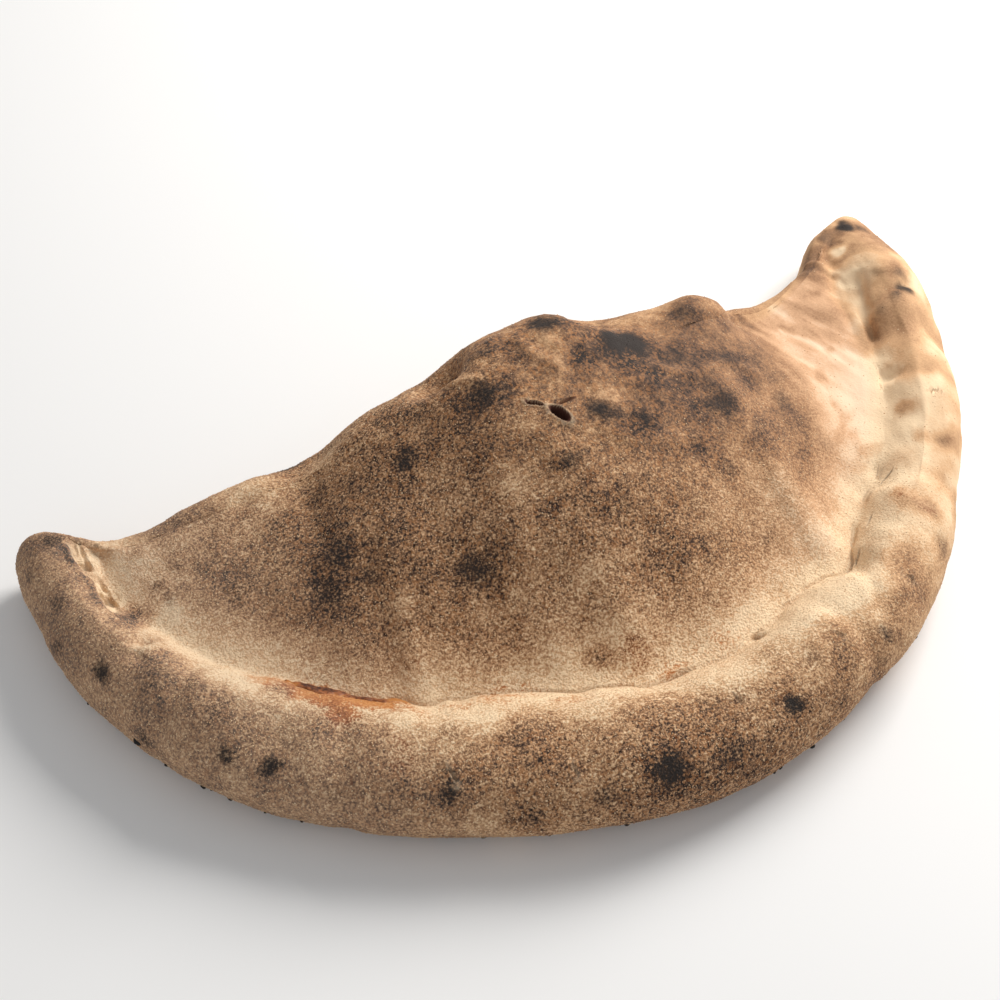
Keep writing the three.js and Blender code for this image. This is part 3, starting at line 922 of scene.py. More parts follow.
STAINS = {
    "front rim": Patch((-86, -43, 24), 5, 0.45),
    "skirt": Patch((-66.5, -16, 19), 2.2, 0.6),
    "reddish streak": Patch((-16, -40, 18), 6, 0.4),
    "left seam": Patch((-121, 18, 21), 3.5, 0.4),
    "orange arc": Patch((75, -36, 24.5), 4.5, 0.5),
    "right end of the arc": Patch((79, -42, 24.5), 4.5, 0.5),
}


def astray(points):
    """The points moved about a little, which gives patches and spots uneven outlines."""
    moved = points.copy()
    for axis in range(3):
        moved[:, axis] += 1.8 * noise(points, 9, 71 + axis) + 1.3 * noise(points, 3.6, 74 + axis)
    return moved


def near_patches(patches, points):
    """The patches' changes, each fading outwards."""
    total = np.zeros(len(points))
    for patch in patches.values():
        away = away_from(patch.at, points) / patch.radius
        total += patch.change * (1 - smoothstep(0.2, 1.4, away))
    return total


def mark_share(mark, crust):
    """Distance from a mark's middle, as a share of the way to its ragged edge."""
    along = (crust.fields["station"] - mark.station) * STATION_STEP / mark.half[0]
    across = (crust.fields["past_seam"] - mark.past) / mark.half[1]
    ragged = 0.3 * noise(crust.points, 3, 90) + 0.25 * noise(crust.points, 1.2, 91)
    return np.hypot(along, across) + ragged


def near_marks(marks, crust):
    total = np.zeros(len(crust.points))
    for mark in marks.values():
        total = np.maximum(total, mark.strength * (1 - smoothstep(0.5, 1.2, mark_share(mark, crust))))
    return total


def outside_browning(points):
    """Signed distance in plan from the browned outline, positive outside it."""
    turns = np.arange(BROWNED_STEPS + 1) / BROWNED_STEPS % 1
    outline = np.column_stack([loop_through(values, turns) for values in zip(*BROWNED_OUTLINE)])
    nearest, crossings = np.full(len(points), np.inf), np.zeros(len(points), int)
    x, y = points[:, 0], points[:, 1]
    for start, end in zip(outline[:-1], outline[1:]):
        run = end - start
        along = np.clip(((points[:, :2] - start) @ run) / (run @ run), 0, 1)
        away = points[:, :2] - start - along[:, None] * run
        nearest = np.minimum(nearest, (away**2).sum(axis=1))
        if run[1]:
            beyond = x < start[0] + (y - start[1]) * run[0] / run[1]
            crossings += beyond & ((start[1] > y) != (end[1] > y))
    return np.sqrt(nearest) * np.where(crossings % 2, -1, 1)


def paint_brown(points, moved, fields):
    """How brown the crust is, apart from its scorched spots."""
    zone = fields["zone"]
    blotch, fleck = fractal(points, *BLOTCH), fractal(points, *FLECK)

    def uneven(level, blotches, flecks):
        return level + blotches * blotch + flecks * fleck

    outside = outside_browning(points)
    soft = mix(SOFT_EDGE, CRISP_EDGE, smoothstep(30, 70, points[:, 0]))
    browned = 1 - smoothstep(-0.8 * soft, soft, uneven(outside, 5, 3))
    mottle = smoothstep(0.15, 0.55, fractal(points, *MOTTLE))
    pale = 0.05 + 0.07 * fleck + 0.2 * mottle * fields["blush"]
    pale += 0.1 * (1 - smoothstep(0, 16, outside))
    crown = mix(pale, uneven(*CROWN_BROWN), browned)
    crown += 0.36 * wrinkles(points)
    toasted = smoothstep(-9, 9, -fields["past_seam"] - fields["pale"] + 8 * blotch)
    rim = mix(pale, uneven(fields["toast"], 0.2, 0.17), toasted)
    fold = uneven(mix(0.5, 0.22, smoothstep(66, 84, points[:, 0])), 0.2, 0.1)
    fold -= 0.2 * (1 - smoothstep(3, 16, points[:, 2]))
    on_fold = 1 - smoothstep(0.2, 0.8, fields["crimp"])
    rim = mix(rim, fold, on_fold)
    crown = mix(crown, fold, on_fold * smoothstep(0, 10, points[:, 1] - 48))
    brown = np.where(zone > ON_CROWN, crown, rim)
    brown = np.where(zone < OFF_BASE, uneven(*BASE_BROWN), brown)
    return brown + near_patches(PATCHES, moved), fleck


def paint_crust(crust):
    """Works out the named fields that colour the crust and say what lies on it."""
    points, fields = crust.points, crust.fields
    zone = fields["zone"]
    upper = zone > UPPER
    moved = astray(points)
    brown, fleck = paint_brown(points, moved, fields)
    away = away_from(SMOOTH_TOP["at"], points)
    smooth = fields["smooth"] = 1 - smoothstep(*SMOOTH_TOP["reach"], away)
    brown += 0.24 * smooth * fractal(points, 7, 2, 83)
    char = np.zeros(len(points))
    for *middle, radius, dark in (spot for region in SPOTS.values() for spot in region):
        away = away_from(middle, moved) / radius
        char = np.maximum(char, dark * (1 - smoothstep(0.2, 1.45, away)))
        brown += 0.15 * dark * (1 - smoothstep(0.5, 2.2, away))
    # The hollow field is painted shade inside the holes, cracks, pits and open seam, and sauce stain
    # deep in the steam holes.
    hollow, torn = np.zeros(len(points)), np.zeros(len(points))
    for name, slit in {**SLITS, **CRACKS}.items():
        torn = np.maximum(torn, slit.bare * (1 - smoothstep(1.35, 1.6, fields[name])))
        hollow = np.maximum(hollow, slit.dark * (1 - smoothstep(1.08, 1.28, fields[name])))
    for crease in CREASES.values():
        if crease.depth < 0:
            share = beside_path(crease.path, points) / (1.4 * crease.width)
            brown -= RIDGE_PALENESS * bell(share) * upper
    for dent in (dent for dent in DENTS.values() if dent.dark):
        hollow = np.maximum(hollow, dent.dark * (1 - smoothstep(0.4, 1.1, dent_share(dent, points))))
    share = fields["tear"]
    fade = tear_fade(points)
    ragged = 0.75 + 0.5 * noise(points, 1.5, 47)
    torn = np.maximum(torn, fade * ragged * (1 - smoothstep(0.7, 1.25, np.abs(share + 0.1))))
    # A brown band along the tear's raised lip on the tip's side: painted shadow of that lip.
    brown += fade * 0.35 * bell((share + 1.7) / 0.5)
    # A dark line painted along the open seam: painted shade.
    gape = along_seam(SEAM_CRACKS, fields["station"])
    in_seam = bell((fields["past_seam"] - 0.9) / 0.8)
    hollow = np.maximum(hollow, 0.35 * np.clip(gape - 0.6, 0, 1) * in_seam)
    fields["brown"] = np.clip(brown, 0, 1)
    fields["char"] = np.clip(char + 0.25 * char * fleck, 0, 1)
    fields["torn"] = np.clip(torn, 0, 1) * upper
    fields["hollow"] = hollow * upper
    oil = np.maximum(near_marks(OIL_MARKS, crust), near_patches(STAINS, moved))
    fields["oil"] = np.clip(oil, 0, 1) * upper
    fields["burnt"] = near_marks(BURNT_MARKS, crust) * upper
    fields["sauce"] = near_marks(SAUCE_MARKS, crust) * upper
    # Greyer towards the left end, the side turned from the key light: painted shade.
    fields["floury"] = smoothstep(60, 115, -points[:, 0])
    fields["rosy"] = 0.75 * fields["blush"] * smoothstep(3, 13, fields["past_seam"])
    bare = np.maximum.reduce([fields["torn"], fields["hollow"], fields["sauce"]])
    plain = (1 - 0.93 * fields["blush"]) * (1 - 0.85 * smooth) * (1 - 0.85 * fields["oil"])
    fields["semolina"] = (zone > OFF_BASE) * (1 - bare) * plain
    fields["soot"] = sooty(points)


SOOT_CLUSTERS = ((-134, -15, 11), (-141, 3, 11), (79, -60, 6), (84, -53, 7))
SOOT_REACH = 2.2
SOOT_ELSEWHERE = 0.04  # how thickly it lies between the clusters, where 1 is thickest


def sooty(points):
    """Where burnt flour clings along the foot: in a few clusters, and thinly between them."""
    band = smoothstep(1, 3, points[:, 2]) * (1 - smoothstep(7, 10, points[:, 2]))
    near = np.zeros(len(points))
    for middle in SOOT_CLUSTERS:
        near = np.maximum(near, away_from(middle, points) < SOOT_REACH)
    return np.maximum(near, SOOT_ELSEWHERE * band)


PAINTED = (
    "brown", "char", "torn", "hollow", "oil", "burnt", "sauce", "blush", "smooth", "rosy", "floury",
    "semolina", "soot",
)


# ---- Meshes, node trees and materials -------------------------------------------------------------


def new_piece(name, mesh, material):
    """Links a mesh as one piece of the calzone, riding on its only body."""
    mesh.materials.clear()
    mesh.materials.append(material)
    piece = bpy.data.objects.new(name, mesh)
    bpy.context.scene.collection.objects.link(piece)
    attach(piece, "root")
    return piece


def vectors(items, name):
    """One vector of each of a mesh's items, as rows."""
    flat = np.empty(3 * len(items), np.float32)
    items.foreach_get(name, flat)
    return flat.reshape(-1, 3).astype(float)


def painted(mesh, name):
    """A named field's values at the mesh's points."""
    values = np.empty(len(mesh.vertices), np.float32)
    mesh.attributes[name].data.foreach_get("value", values)
    return values


class Signal:
    """A node's output that can be used in sums and products."""

    def __init__(self, sketch, socket):
        self.sketch = sketch
        self.socket = socket

    def maths(self, operation, *values):
        settings = {"operation": operation}
        return self.sketch.node("ShaderNodeMath", settings, dict(enumerate(values)))

    def __add__(self, other):
        return self.maths("ADD", self, other)

    __radd__ = __add__

    def __sub__(self, other):
        return self.maths("SUBTRACT", self, other)

    def __rsub__(self, other):
        return self.maths("SUBTRACT", other, self)

    def __mul__(self, other):
        return self.maths("MULTIPLY", self, other)

    __rmul__ = __mul__

    def between(self, low, high):
        """0 below the first value, 1 above the second, and smooth between them."""
        inputs = {"Value": self, "From Min": low, "From Max": high}
        return self.sketch.node("ShaderNodeMapRange", {"interpolation_type": "SMOOTHSTEP"}, inputs)


class Sketch:
    """A node tree whose nodes are added one at a time."""

    def __init__(self, tree):
        self.tree = tree
        self.nodes = tree.nodes
        self.nodes.clear()

    def node(self, kind, settings=None, inputs=None, output=0):
        """Adds a node: its settings first, a ramp's stops among them, then its sockets."""
        made = self.nodes.new(kind)
        for name, value in (settings or {}).items():
            if name == "stops":
                self.set_stops(made.color_ramp, value)
            else:
                setattr(made, name, value)
        for name, value in (inputs or {}).items():
            if isinstance(value, Signal):
                self.tree.links.new(value.socket, made.inputs[name])
            else:
                made.inputs[name].default_value = value
        return Signal(self, made.outputs[output])

    @staticmethod
    def set_stops(ramp, stops):
        while len(ramp.elements) < len(stops):
            ramp.elements.new(1.0)
        for element, (place, colour) in zip(ramp.elements, stops):
            element.position = place
            element.color = (*colour, 1.0)

    def field(self, name):
        """A number painted on the mesh's points."""
        settings = {"attribute_name": name}
        return self.node("ShaderNodeAttribute", settings, output="Fac")

    def noise(self, place, size, detail=2.0, roughness=0.5):
        """Noise centred on 0, with swellings of the given size in metres."""
        inputs = {"Vector": place, "Scale": 1 / size, "Detail": detail, "Roughness": roughness}
        return (self.node("ShaderNodeTexNoise", None, inputs) - 0.5) * 2

    def cells(self, place, size):
        """Cells of the given size in metres: two random values from 0 to 1 for each."""
        inputs = {"Vector": place, "Scale": 1 / size}
        colour = self.node("ShaderNodeTexVoronoi", None, inputs, output="Color")
        first = self.node("ShaderNodeSeparateColor", None, {"Color": colour})
        return first, Signal(self, first.socket.node.outputs[1])

    def mix_colour(self, share, low, high, blend="MIX"):
        settings = {"data_type": "RGBA", "blend_type": blend, "clamp_factor": True}
        inputs = {0: share, 6: low, 7: high}
        return self.node("ShaderNodeMix", settings, inputs, output=2)

    def finish(self, kind, socket, signal):
        """Adds the tree's last node."""
        self.tree.links.new(signal.socket, self.nodes.new(kind).inputs[socket])


def new_material(name, draw):
    """A material whose surface is drawn by the given function."""
    material = bpy.data.materials.new(name)
    material.use_nodes = True
    sketch = Sketch(material.node_tree)
    sketch.finish("ShaderNodeOutputMaterial", "Surface", draw(sketch))
    return material


def rgba(colour):
    return (*colour, 1.0)


def draw_crust(sketch, colours, sizes):
    """Baked dough: pale to brown to char, with toasted grain all over it."""
    place = sketch.node("ShaderNodeTexCoord", output="Object")
    grain = sketch.noise(place, sizes.grain, 2.0, 0.6).between(-0.4, 0.4)
    cell, warmth = sketch.cells(place, sizes.grain)
    crumb = sketch.noise(place, 3 * sizes.grain, 2.0)
    mottle = sketch.noise(place, 9 * sizes.grain, 3.0)
    brown, char, oil, blush = (sketch.field(name) for name in ("brown", "char", "oil", "blush"))
    fine = 1 - sketch.field("smooth") * 0.68
    rough = 1 - blush * 0.7
    speckle = (0.5 - grain) * (brown * 0.8 + rough * 0.27)
    speckle = (speckle + (0.5 - cell) * rough * (brown * 0.37 + 0.1)) * fine
    speckle = (speckle + crumb * (brown * 0.34 + rough * 0.2)) * (1 - blush * 0.8)
    shade = brown + speckle + mottle * (brown * 0.12 + 0.04)
    stops = (
        (0.0, colours.cream),
        (0.25, colours.gold),
        (0.5, colours.brown),
        (0.75, colours.dark),
        (1.0, colours.char),
    )
    baked = sketch.node("ShaderNodeValToRGB", {"stops": stops}, {"Fac": shade})
    rusty = warmth.between(0.5, 1.0) * brown.between(0.1, 0.6) * (1 - blush) * 0.6
    baked = sketch.mix_colour(rusty, baked, rgba(colours.rust))
    rosy = sketch.field("rosy") * (1 - brown.between(0.2, 0.7))
    baked = sketch.mix_colour(rosy, baked, rgba(colours.peach), "MULTIPLY")
    stained = (oil + speckle * 1.5 + mottle * 0.3 - 0.1).between(0.15, 0.85)
    baked = sketch.mix_colour(stained, baked, rgba(colours.oil), "MULTIPLY")
    # Greyer towards the left end: painted shade on the side turned from the key light.
    baked = sketch.mix_colour(sketch.field("floury") * 0.18, baked, rgba(colours.left_shade_grey))
    scorched = (char + speckle * 0.45 + mottle * 0.06).between(0.08, 0.92)
    baked = sketch.mix_colour(scorched, baked, rgba(colours.char))
    baked = sketch.mix_colour(sketch.field("torn"), baked, rgba(colours.torn))
    # Painted shade inside holes, cracks, pits and the open seam, with sauce stain deep in the steam
    # holes.
    hollow = sketch.field("hollow")
    baked = sketch.mix_colour(hollow, baked, rgba(colours.hollow))
    bump_inputs = {
        "Strength": 0.9,
        "Distance": 0.55 * sizes.grain,
        "Height": (grain * fine * 0.6 + crumb * 0.4) * (1 - blush * 0.85) * (1 - hollow),
    }
    inputs = {
        "Base Color": baked,
        "Roughness": 0.85 - oil * 0.35,
        "Specular IOR Level": 0.25,
        "Normal": sketch.node("ShaderNodeBump", None, bump_inputs),
    }
    return sketch.node("ShaderNodeBsdfPrincipled", None, inputs)


def draw_sauce(sketch, colours):
    """Oily tomato sauce, amber where it is thin and nearly black where it has burnt."""
    place = sketch.node("ShaderNodeTexCoord", output="Object")
    curdled = sketch.noise(place, 1.2 * MM, 3.0)
    baked = sketch.field("burnt") + curdled * 0.7
    burnt = baked.between(0.5, 1.1)
    thick = (sketch.field("sauce") + curdled * 0.4).between(0.3, 1.0)
    wet = sketch.mix_colour(thick * 0.6, rgba(colours.amber), rgba(colours.sauce))
    wet = sketch.mix_colour(baked.between(0.1, 0.6), wet, rgba(colours.sauce))
    wet = sketch.mix_colour(burnt, wet, rgba(colours.burnt))
    bump_inputs = {"Strength": 0.6, "Distance": 0.3 * MM, "Height": curdled}
    inputs = {
        "Base Color": wet,
        "Roughness": 0.45 + burnt * 0.35,
        "Specular IOR Level": 0.3,
        "Normal": sketch.node("ShaderNodeBump", None, bump_inputs),
    }
    return sketch.node("ShaderNodeBsdfPrincipled", None, inputs)


def draw_grains(sketch, colours):
    """Semolina, as brown as the crust that it is baked on, give or take its own tone."""
    brown, char, tone = (sketch.field(name) for name in ("brown", "char", "tone"))
    stops = (
        (0.0, colours.semolina),
        (0.33, colours.gold),
        (0.6, colours.brown),
        (0.82, colours.dark),
        (1.0, colours.char),
    )
    shade = brown * 0.55 + tone - 0.05 + char * 0.9
    inputs = {
        "Base Color": sketch.node("ShaderNodeValToRGB", {"stops": stops}, {"Fac": shade}),
        "Roughness": 0.75,
    }
    return sketch.node("ShaderNodeBsdfPrincipled", None, inputs)


def draw_plain(sketch, colour, roughness):
    inputs = {"Base Color": rgba(colour), "Roughness": roughness}
    return sketch.node("ShaderNodeBsdfPrincipled", None, inputs)


# ---- Small things strewn over the crust -------------------------------------------------------------

STREW_INPUTS = {
    "Geometry": "NodeSocketGeometry",
    "Weight": "NodeSocketString",
    "Spacing": "NodeSocketFloat",
    "Density": "NodeSocketFloat",
    "Smallest": "NodeSocketFloat",
    "Largest": "NodeSocketFloat",
    "Segments": "NodeSocketInt",
    "Rings": "NodeSocketInt",
    "Seed": "NodeSocketInt",
    "Material": "NodeSocketMaterial",
}
FULL_TURN = 2 * math.pi
SEMOLINA_DENSITY = 0.58e6  # grains for each square metre, in each of the two pieces
SOOT_DENSITY = 0.4e6  # lumps for each square metre where the soot lies thickest


def strew_tree():
    """Nodes that strew uneven lumps over a mesh, as thickly as a painted field says."""
    tree = bpy.data.node_groups.new("Strew", "GeometryNodeTree")
    for name, kind in STREW_INPUTS.items():
        tree.interface.new_socket(name, in_out="INPUT", socket_type=kind)
    tree.interface.new_socket("Geometry", in_out="OUTPUT", socket_type="NodeSocketGeometry")
    sketch = Sketch(tree)
    entry = tree.nodes.new("NodeGroupInput")
    given = {name: Signal(sketch, entry.outputs[name]) for name in STREW_INPUTS}
    seed = given["Seed"]
    weight_inputs = {"Name": given["Weight"]}
    weight = sketch.node("GeometryNodeInputNamedAttribute", {"data_type": "FLOAT"}, weight_inputs)
    distribute_inputs = {
        "Mesh": given["Geometry"],
        "Distance Min": given["Spacing"],
        "Density Max": given["Density"],
        "Density Factor": weight,
        "Seed": seed,
    }
    settings = {"distribute_method": "POISSON"}
    kind = "GeometryNodeDistributePointsOnFaces"
    points = sketch.node(kind, settings, distribute_inputs)
    upright = Signal(sketch, points.socket.node.outputs["Rotation"])
    random = {"data_type": "FLOAT"}
    tone = sketch.node("FunctionNodeRandomValue", random, {2: -0.28, 3: 0.4, "Seed": seed + 1}, 1)
    tone_inputs = {"Geometry": points, "Name": "tone", "Value": tone}
    settings = {"data_type": "FLOAT", "domain": "POINT"}
    toned = sketch.node("GeometryNodeStoreNamedAttribute", settings, tone_inputs)
    vector = {"data_type": "FLOAT_VECTOR"}
    spin_inputs = {1: (0.6, 0.6, FULL_TURN), "Seed": seed + 2}
    spin = sketch.node("FunctionNodeRandomValue", vector, spin_inputs)
    turn_inputs = {"Rotation": upright, "Rotate By": spin}
    turned = sketch.node("FunctionNodeRotateRotation", {"rotation_space": "LOCAL"}, turn_inputs)
    shape_inputs = {0: (0.7, 0.55, 0.4), 1: (1.0, 0.85, 0.7), "Seed": seed + 3}
    shape = sketch.node("FunctionNodeRandomValue", vector, shape_inputs)
    size_inputs = {2: given["Smallest"], 3: given["Largest"], "Seed": seed + 4}
    size = sketch.node("FunctionNodeRandomValue", random, size_inputs, 1)
    scale_inputs = {"Vector": shape, "Scale": size}
    scale = sketch.node("ShaderNodeVectorMath", {"operation": "SCALE"}, scale_inputs)
    ball_inputs = {"Segments": given["Segments"], "Rings": given["Rings"], "Radius": 0.5}
    ball = sketch.node("GeometryNodeMeshUVSphere", None, ball_inputs)
    instance_inputs = {"Points": toned, "Instance": ball, "Rotation": turned, "Scale": scale}
    lumps = sketch.node("GeometryNodeInstanceOnPoints", None, instance_inputs)
    real = sketch.node("GeometryNodeRealizeInstances", None, {"Geometry": lumps})
    coloured_inputs = {"Geometry": real, "Material": given["Material"]}
    coloured = sketch.node("GeometryNodeSetMaterial", None, coloured_inputs)
    sketch.finish("NodeGroupOutput", "Geometry", coloured)
    return tree


def strewn(name, ground, values):
    """A plain mesh of what the tree strews over the ground."""
    carrier = bpy.data.objects.new(name, ground)
    bpy.context.scene.collection.objects.link(carrier)
    modifier = carrier.modifiers.new("Strew", "NODES")
    modifier.node_group = bpy.data.node_groups.get("Strew") or strew_tree()
    for item in modifier.node_group.interface.items_tree:
        if item.name in values:
            modifier[item.identifier] = values[item.name]
    depsgraph = bpy.context.evaluated_depsgraph_get()
    mesh = bpy.data.meshes.new_from_object(
        carrier.evaluated_get(depsgraph), preserve_all_data_layers=True, depsgraph=depsgraph
    )
    bpy.data.objects.remove(carrier)
    if not mesh.polygons:
        raise RuntimeError(f"nothing was strewn for {name}")
    return mesh


SAUCE_ROOT = 0.12  # how far the sauce's edge lies under the crust's surface


def sauce_mesh(ground, thickness):
    """A thin closed layer on the painted faces, sunk into the crust along its edge."""
    sauce = painted(ground, "sauce")
    points = vectors(ground.vertices, "co")
    normals = vectors(ground.vertex_normals, "vector")
    tops = [tuple(face.vertices) for face in ground.polygons if sauce[list(face.vertices)].min() > 0]
    sides = {(start, end) for face in tops for start, end in zip(face, face[1:] + face[:1])}
    edge = [(start, end) for start, end in sides if (end, start) not in sides]
    used = sorted({corner for face in tops for corner in face})
    top = {corner: number for number, corner in enumerate(used)}
    bottom = {corner: number + len(used) for number, corner in enumerate(used)}
    faces = [[top[corner] for corner in face] for face in tops]
    faces += [[bottom[corner] for corner in reversed(face)] for face in tops]
    faces += [[top[end], top[start], bottom[start], bottom[end]] for start, end in sorted(edge)]
    lumpy = 1 + 0.5 * noise(points[used] / MM, 1.6, 95)
    rise = (thickness * lumpy * smoothstep(0, 0.6, sauce[used]) - SAUCE_ROOT * MM)[:, None]
    upper = points[used] + normals[used] * rise
    lower = points[used] - normals[used] * 2 * SAUCE_ROOT * MM
    mesh = bpy.data.meshes.new("sauce")
    mesh.from_pydata(np.concatenate((upper, lower)), [], faces)
    mesh.shade_smooth()
    for name in ("burnt", "sauce"):
        layer = mesh.attributes.new(name, "FLOAT", "POINT")
        layer.data.foreach_set("value", np.tile(painted(ground, name)[used], 2))
    return mesh


# ---- What a user can change -----------------------------------------------------------------------


def colour_property(name, description, default):
    return bpy.props.FloatVectorProperty(
        name=name, description=description, default=default, subtype="COLOR", min=0, max=1
    )


def size_property(name, description, millimetres):
    return bpy.props.FloatProperty(
        name=name, description=description, default=millimetres * MM, min=0.1 * MM,
        precision=5, subtype="DISTANCE", unit="LENGTH",
    )


class CalzoneColours(bpy.types.PropertyGroup):
    """The calzone's colours, from pale dough to char."""

    cream: colour_property("Cream", "Dough that has hardly browned", (0.84, 0.64, 0.42))
    peach: colour_property("Peach", "Tint of smooth pale dough", (0.92, 0.90, 1.0))
    gold: colour_property("Gold", "Lightly baked dough", (0.61, 0.37, 0.20))
    brown: colour_property("Brown", "Well baked crust", (0.33, 0.18, 0.093))
    rust: colour_property("Rust", "Single grains that have toasted", (0.45, 0.20, 0.075))
    dark: colour_property("Dark brown", "Crust about to scorch", (0.13, 0.072, 0.045))
    char: colour_property("Char", "Scorched crust", (0.028, 0.021, 0.018))
    torn: colour_property("Torn", "Dough inside a tear", (0.78, 0.60, 0.40))
    # Painted shade inside holes, cracks and pits, partly sauce stain in the steam holes.
    hollow: colour_property("Hollow", "Sauce-stained dough deep in a hole", (0.075, 0.026, 0.016))
    # Grey mixed in towards the left end, the side turned from the key light: painted shade.
    left_shade_grey: colour_property("Flour", "Dust of flour baked on at the left", (0.36, 0.31, 0.27))
    oil: colour_property("Oil", "Tint of crust soaked in oil and sauce", (0.70, 0.38, 0.16))
    amber: colour_property("Amber", "Thin sauce baked on the lip", (0.45, 0.18, 0.045))
    sauce: colour_property("Sauce", "Thick sauce baked on the lip", (0.30, 0.10, 0.035))
    burnt: colour_property("Burnt sauce", "Sauce burnt onto the lip", (0.06, 0.02, 0.012))
    semolina: colour_property("Semolina", "Pale semolina", (0.80, 0.62, 0.40))
    soot: colour_property("Soot", "Burnt flour from the oven floor", (0.018, 0.016, 0.015))


class CalzoneSizes(bpy.types.PropertyGroup):
    """Sizes of what gives the crust its texture and of what lies on it."""

    grain: size_property("Grain", "Spacing of the crust's baked grain", 0.66)
    semolina_smallest: size_property("Smallest semolina", "Width of the smallest grains", 0.34)
    semolina_largest: size_property("Largest semolina", "Width of the largest grains", 0.68)
    semolina_spacing: size_property("Semolina spacing", "Least gap between grains", 0.45)
    sauce: size_property("Sauce", "Thickness of the sauce on the lip", 0.55)
    soot: size_property("Soot", "Width of the largest burnt lumps", 2.6)


# ---- One operator for each piece -------------------------------------------------------------------


class CALZONE_OT_bake_crust(bpy.types.Operator):
    """Models the dough and bakes its crust"""

    bl_idname = "calzone.bake_crust"
    bl_label = "Bake crust"

    def execute(self, context):
        crust = Crust()
        refine_details(crust)
        raise_relief(crust)
        paint_crust(crust)
        mesh = crust.finished(PAINTED)
        scene = context.scene
        colours, sizes = scene.calzone_colours, scene.calzone_sizes
        material = new_material("Crust", lambda sketch: draw_crust(sketch, colours, sizes))
        piece = new_piece("crust", mesh, material)
        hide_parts("calzone")
        return {"FINISHED"}


class CALZONE_OT_leak_sauce(bpy.types.Operator):
    """Lets a little sauce leak over the lip of the seam"""

    bl_idname = "calzone.leak_sauce"
    bl_label = "Leak sauce"

    def execute(self, context):
        scene = context.scene
        mesh = sauce_mesh(bpy.data.objects["crust"].data, scene.calzone_sizes.sauce)
        colours = scene.calzone_colours
        new_piece("sauce", mesh, new_material("Sauce", lambda sketch: draw_sauce(sketch, colours)))
        return {"FINISHED"}


class CALZONE_OT_strew_semolina(bpy.types.Operator):
    """Strews semolina over the crust, in two pieces of many grains each"""

    bl_idname = "calzone.strew_semolina"
    bl_label = "Strew semolina"

    def execute(self, context):
        scene = context.scene
        colours, sizes = scene.calzone_colours, scene.calzone_sizes
        material = new_material("Semolina", lambda sketch: draw_grains(sketch, colours))
        values = {
            "Weight": "semolina",
            "Spacing": sizes.semolina_spacing,
            "Density": SEMOLINA_DENSITY,
            "Smallest": sizes.semolina_smallest,
            "Largest": sizes.semolina_largest,
            "Segments": 4,
            "Rings": 2,
            "Material": material,
        }
        for number, name in enumerate(("semolina", "second_semolina")):
            ground = bpy.data.objects["crust"].data
            mesh = strewn(name, ground, {**values, "Seed": 10 * number})
            new_piece(name, mesh, material)
        return {"FINISHED"}


class CALZONE_OT_strew_soot(bpy.types.Operator):
    """Sticks a few lumps of burnt flour to the foot of the crust"""

    bl_idname = "calzone.strew_soot"
    bl_label = "Strew soot"

    def execute(self, context):
        scene = context.scene
        colours, sizes = scene.calzone_colours, scene.calzone_sizes
        material = new_material("Soot", lambda sketch: draw_plain(sketch, colours.soot, 0.9))
        values = {
            "Weight": "soot",
            "Spacing": 0.3 * sizes.soot,
            "Density": SOOT_DENSITY,
            "Smallest": 0.4 * sizes.soot,
            "Largest": sizes.soot,
            "Segments": 7,
            "Rings": 4,
            "Seed": 5,
            "Material": material,
        }
        new_piece("soot", strewn("soot", bpy.data.objects["crust"].data, values), material)
        return {"FINISHED"}


class Lamp(NamedTuple):
    """A square soft light, in metres and watts."""

    at: tuple
    size: float
    power: float
    colour: tuple


LAMPS = {
    "Key": Lamp((0.715, 0.234, 0.546), 0.52, 11.8, (1.0, 0.97, 0.93)),
    "Fill": Lamp((-0.7, -0.9, 0.8), 1.2, 2, (0.88, 0.94, 1.0)),
}
LAMPS_AIM = (0.0, 0.0, 0.03)  # metres
SKY_STRENGTH = 0.4
FLOOR_HALF = 3.0  # metres
FLOOR_FINISH = ((0.86, 0.86, 0.86), 0.9)  # its colour and roughness
CAMERA_TARGET = (-18.6, 23.8, 19.2)
CAMERA_DISTANCE = 537.6
CAMERA_AZIMUTH, CAMERA_ELEVATION = -29.63, 48.0  # degrees
CAMERA_LENS, CAMERA_SENSOR = 68.93, 36


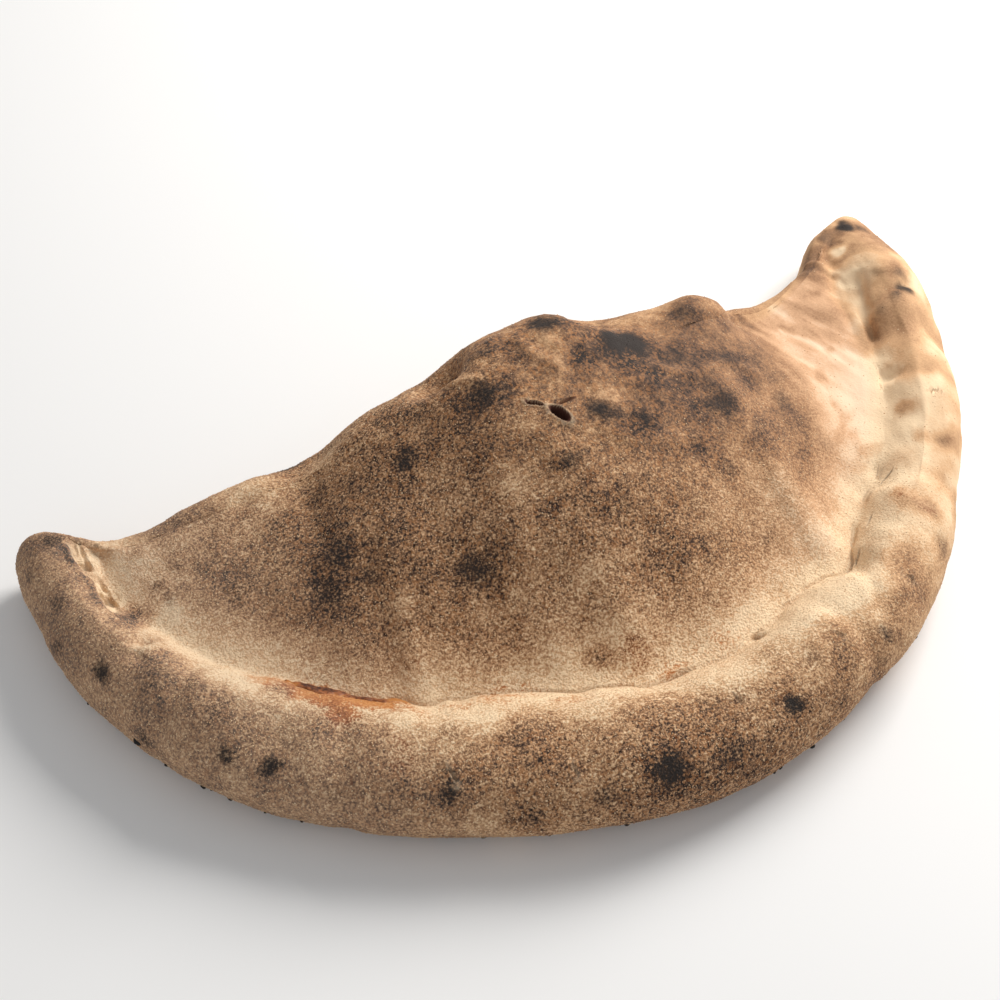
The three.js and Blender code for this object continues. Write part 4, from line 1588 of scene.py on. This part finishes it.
class CALZONE_OT_set_stage(bpy.types.Operator):
    """Sets the calzone on a pale floor in soft light, before a camera"""

    bl_idname = "calzone.set_stage"
    bl_label = "Set stage"

    def execute(self, context):
        scene = context.scene
        self.lay_floor(scene)
        self.hang_lights(scene)
        self.place_camera(scene)
        return {"FINISHED"}

    def lay_floor(self, scene):
        half = FLOOR_HALF
        corners = [(-half, -half, 0), (half, -half, 0), (half, half, 0), (-half, half, 0)]
        mesh = bpy.data.meshes.new("floor")
        mesh.from_pydata(corners, [], [(0, 1, 2, 3)])
        material = new_material("Pale floor", lambda sketch: draw_plain(sketch, *FLOOR_FINISH))
        mesh.materials.append(material)
        floor = bpy.data.objects.new("floor", mesh)
        scene.collection.objects.link(floor)

    def hang_lights(self, scene):
        world = bpy.data.worlds.new("Studio")
        world.use_nodes = True
        background = world.node_tree.nodes["Background"]
        background.inputs["Color"].default_value = (1, 1, 1, 1)
        background.inputs["Strength"].default_value = SKY_STRENGTH
        scene.world = world
        for name, lamp in LAMPS.items():
            data = bpy.data.lights.new(name, "AREA")
            data.energy = lamp.power
            data.size = lamp.size
            data.color = lamp.colour
            light = bpy.data.objects.new(name, data)
            light.location = lamp.at
            light.rotation_mode = "QUATERNION"
            towards = Vector(LAMPS_AIM) - Vector(lamp.at)
            light.rotation_quaternion = towards.to_track_quat("-Z", "Y")
            scene.collection.objects.link(light)
        scene.view_settings.view_transform = "Standard"

    def place_camera(self, scene):
        data = bpy.data.cameras.new("Camera")
        data.sensor_width = CAMERA_SENSOR
        data.lens = CAMERA_LENS
        camera = bpy.data.objects.new("Camera", data)
        azimuth, elevation = math.radians(CAMERA_AZIMUTH), math.radians(CAMERA_ELEVATION)
        back = Vector(
            (
                math.sin(azimuth) * math.cos(elevation),
                -math.cos(azimuth) * math.cos(elevation),
                math.sin(elevation),
            )
        )
        camera.rotation_mode = "QUATERNION"
        camera.location = (Vector(CAMERA_TARGET) + back * CAMERA_DISTANCE) * MM
        camera.rotation_quaternion = (-back).to_track_quat("-Z", "Y")
        scene.collection.objects.link(camera)
        scene.camera = camera


class CALZONE_PT_sidebar(bpy.types.Panel):
    """Lists the calzone's steps and colours"""

    bl_idname = "CALZONE_PT_sidebar"
    bl_label = "Calzone"
    bl_space_type = "VIEW_3D"
    bl_region_type = "UI"
    bl_category = "Calzone"

    def draw(self, context):
        column = self.layout.column()
        for step in STEPS:
            column.operator(step.bl_idname)
        scene = context.scene
        for group in (scene.calzone_sizes, scene.calzone_colours):
            for name in type(group).__annotations__:
                column.prop(group, name)


STEPS = (
    CALZONE_OT_bake_crust,
    CALZONE_OT_leak_sauce,
    CALZONE_OT_strew_semolina,
    CALZONE_OT_strew_soot,
    CALZONE_OT_set_stage,
)
CLASSES = (CalzoneColours, CalzoneSizes, *STEPS, CALZONE_PT_sidebar)


def register():
    for cls in CLASSES:
        bpy.utils.register_class(cls)
    bpy.types.Scene.calzone_colours = bpy.props.PointerProperty(type=CalzoneColours)
    bpy.types.Scene.calzone_sizes = bpy.props.PointerProperty(type=CalzoneSizes)


def unregister():
    del bpy.types.Scene.calzone_sizes
    del bpy.types.Scene.calzone_colours
    for cls in reversed(CLASSES):
        bpy.utils.unregister_class(cls)


def main():
    register()
    bpy.ops.calzone.bake_crust()
    bpy.ops.calzone.leak_sauce()
    bpy.ops.calzone.strew_semolina()
    bpy.ops.calzone.strew_soot()
    bpy.ops.calzone.set_stage()


if __name__ == "__main__":
    main()
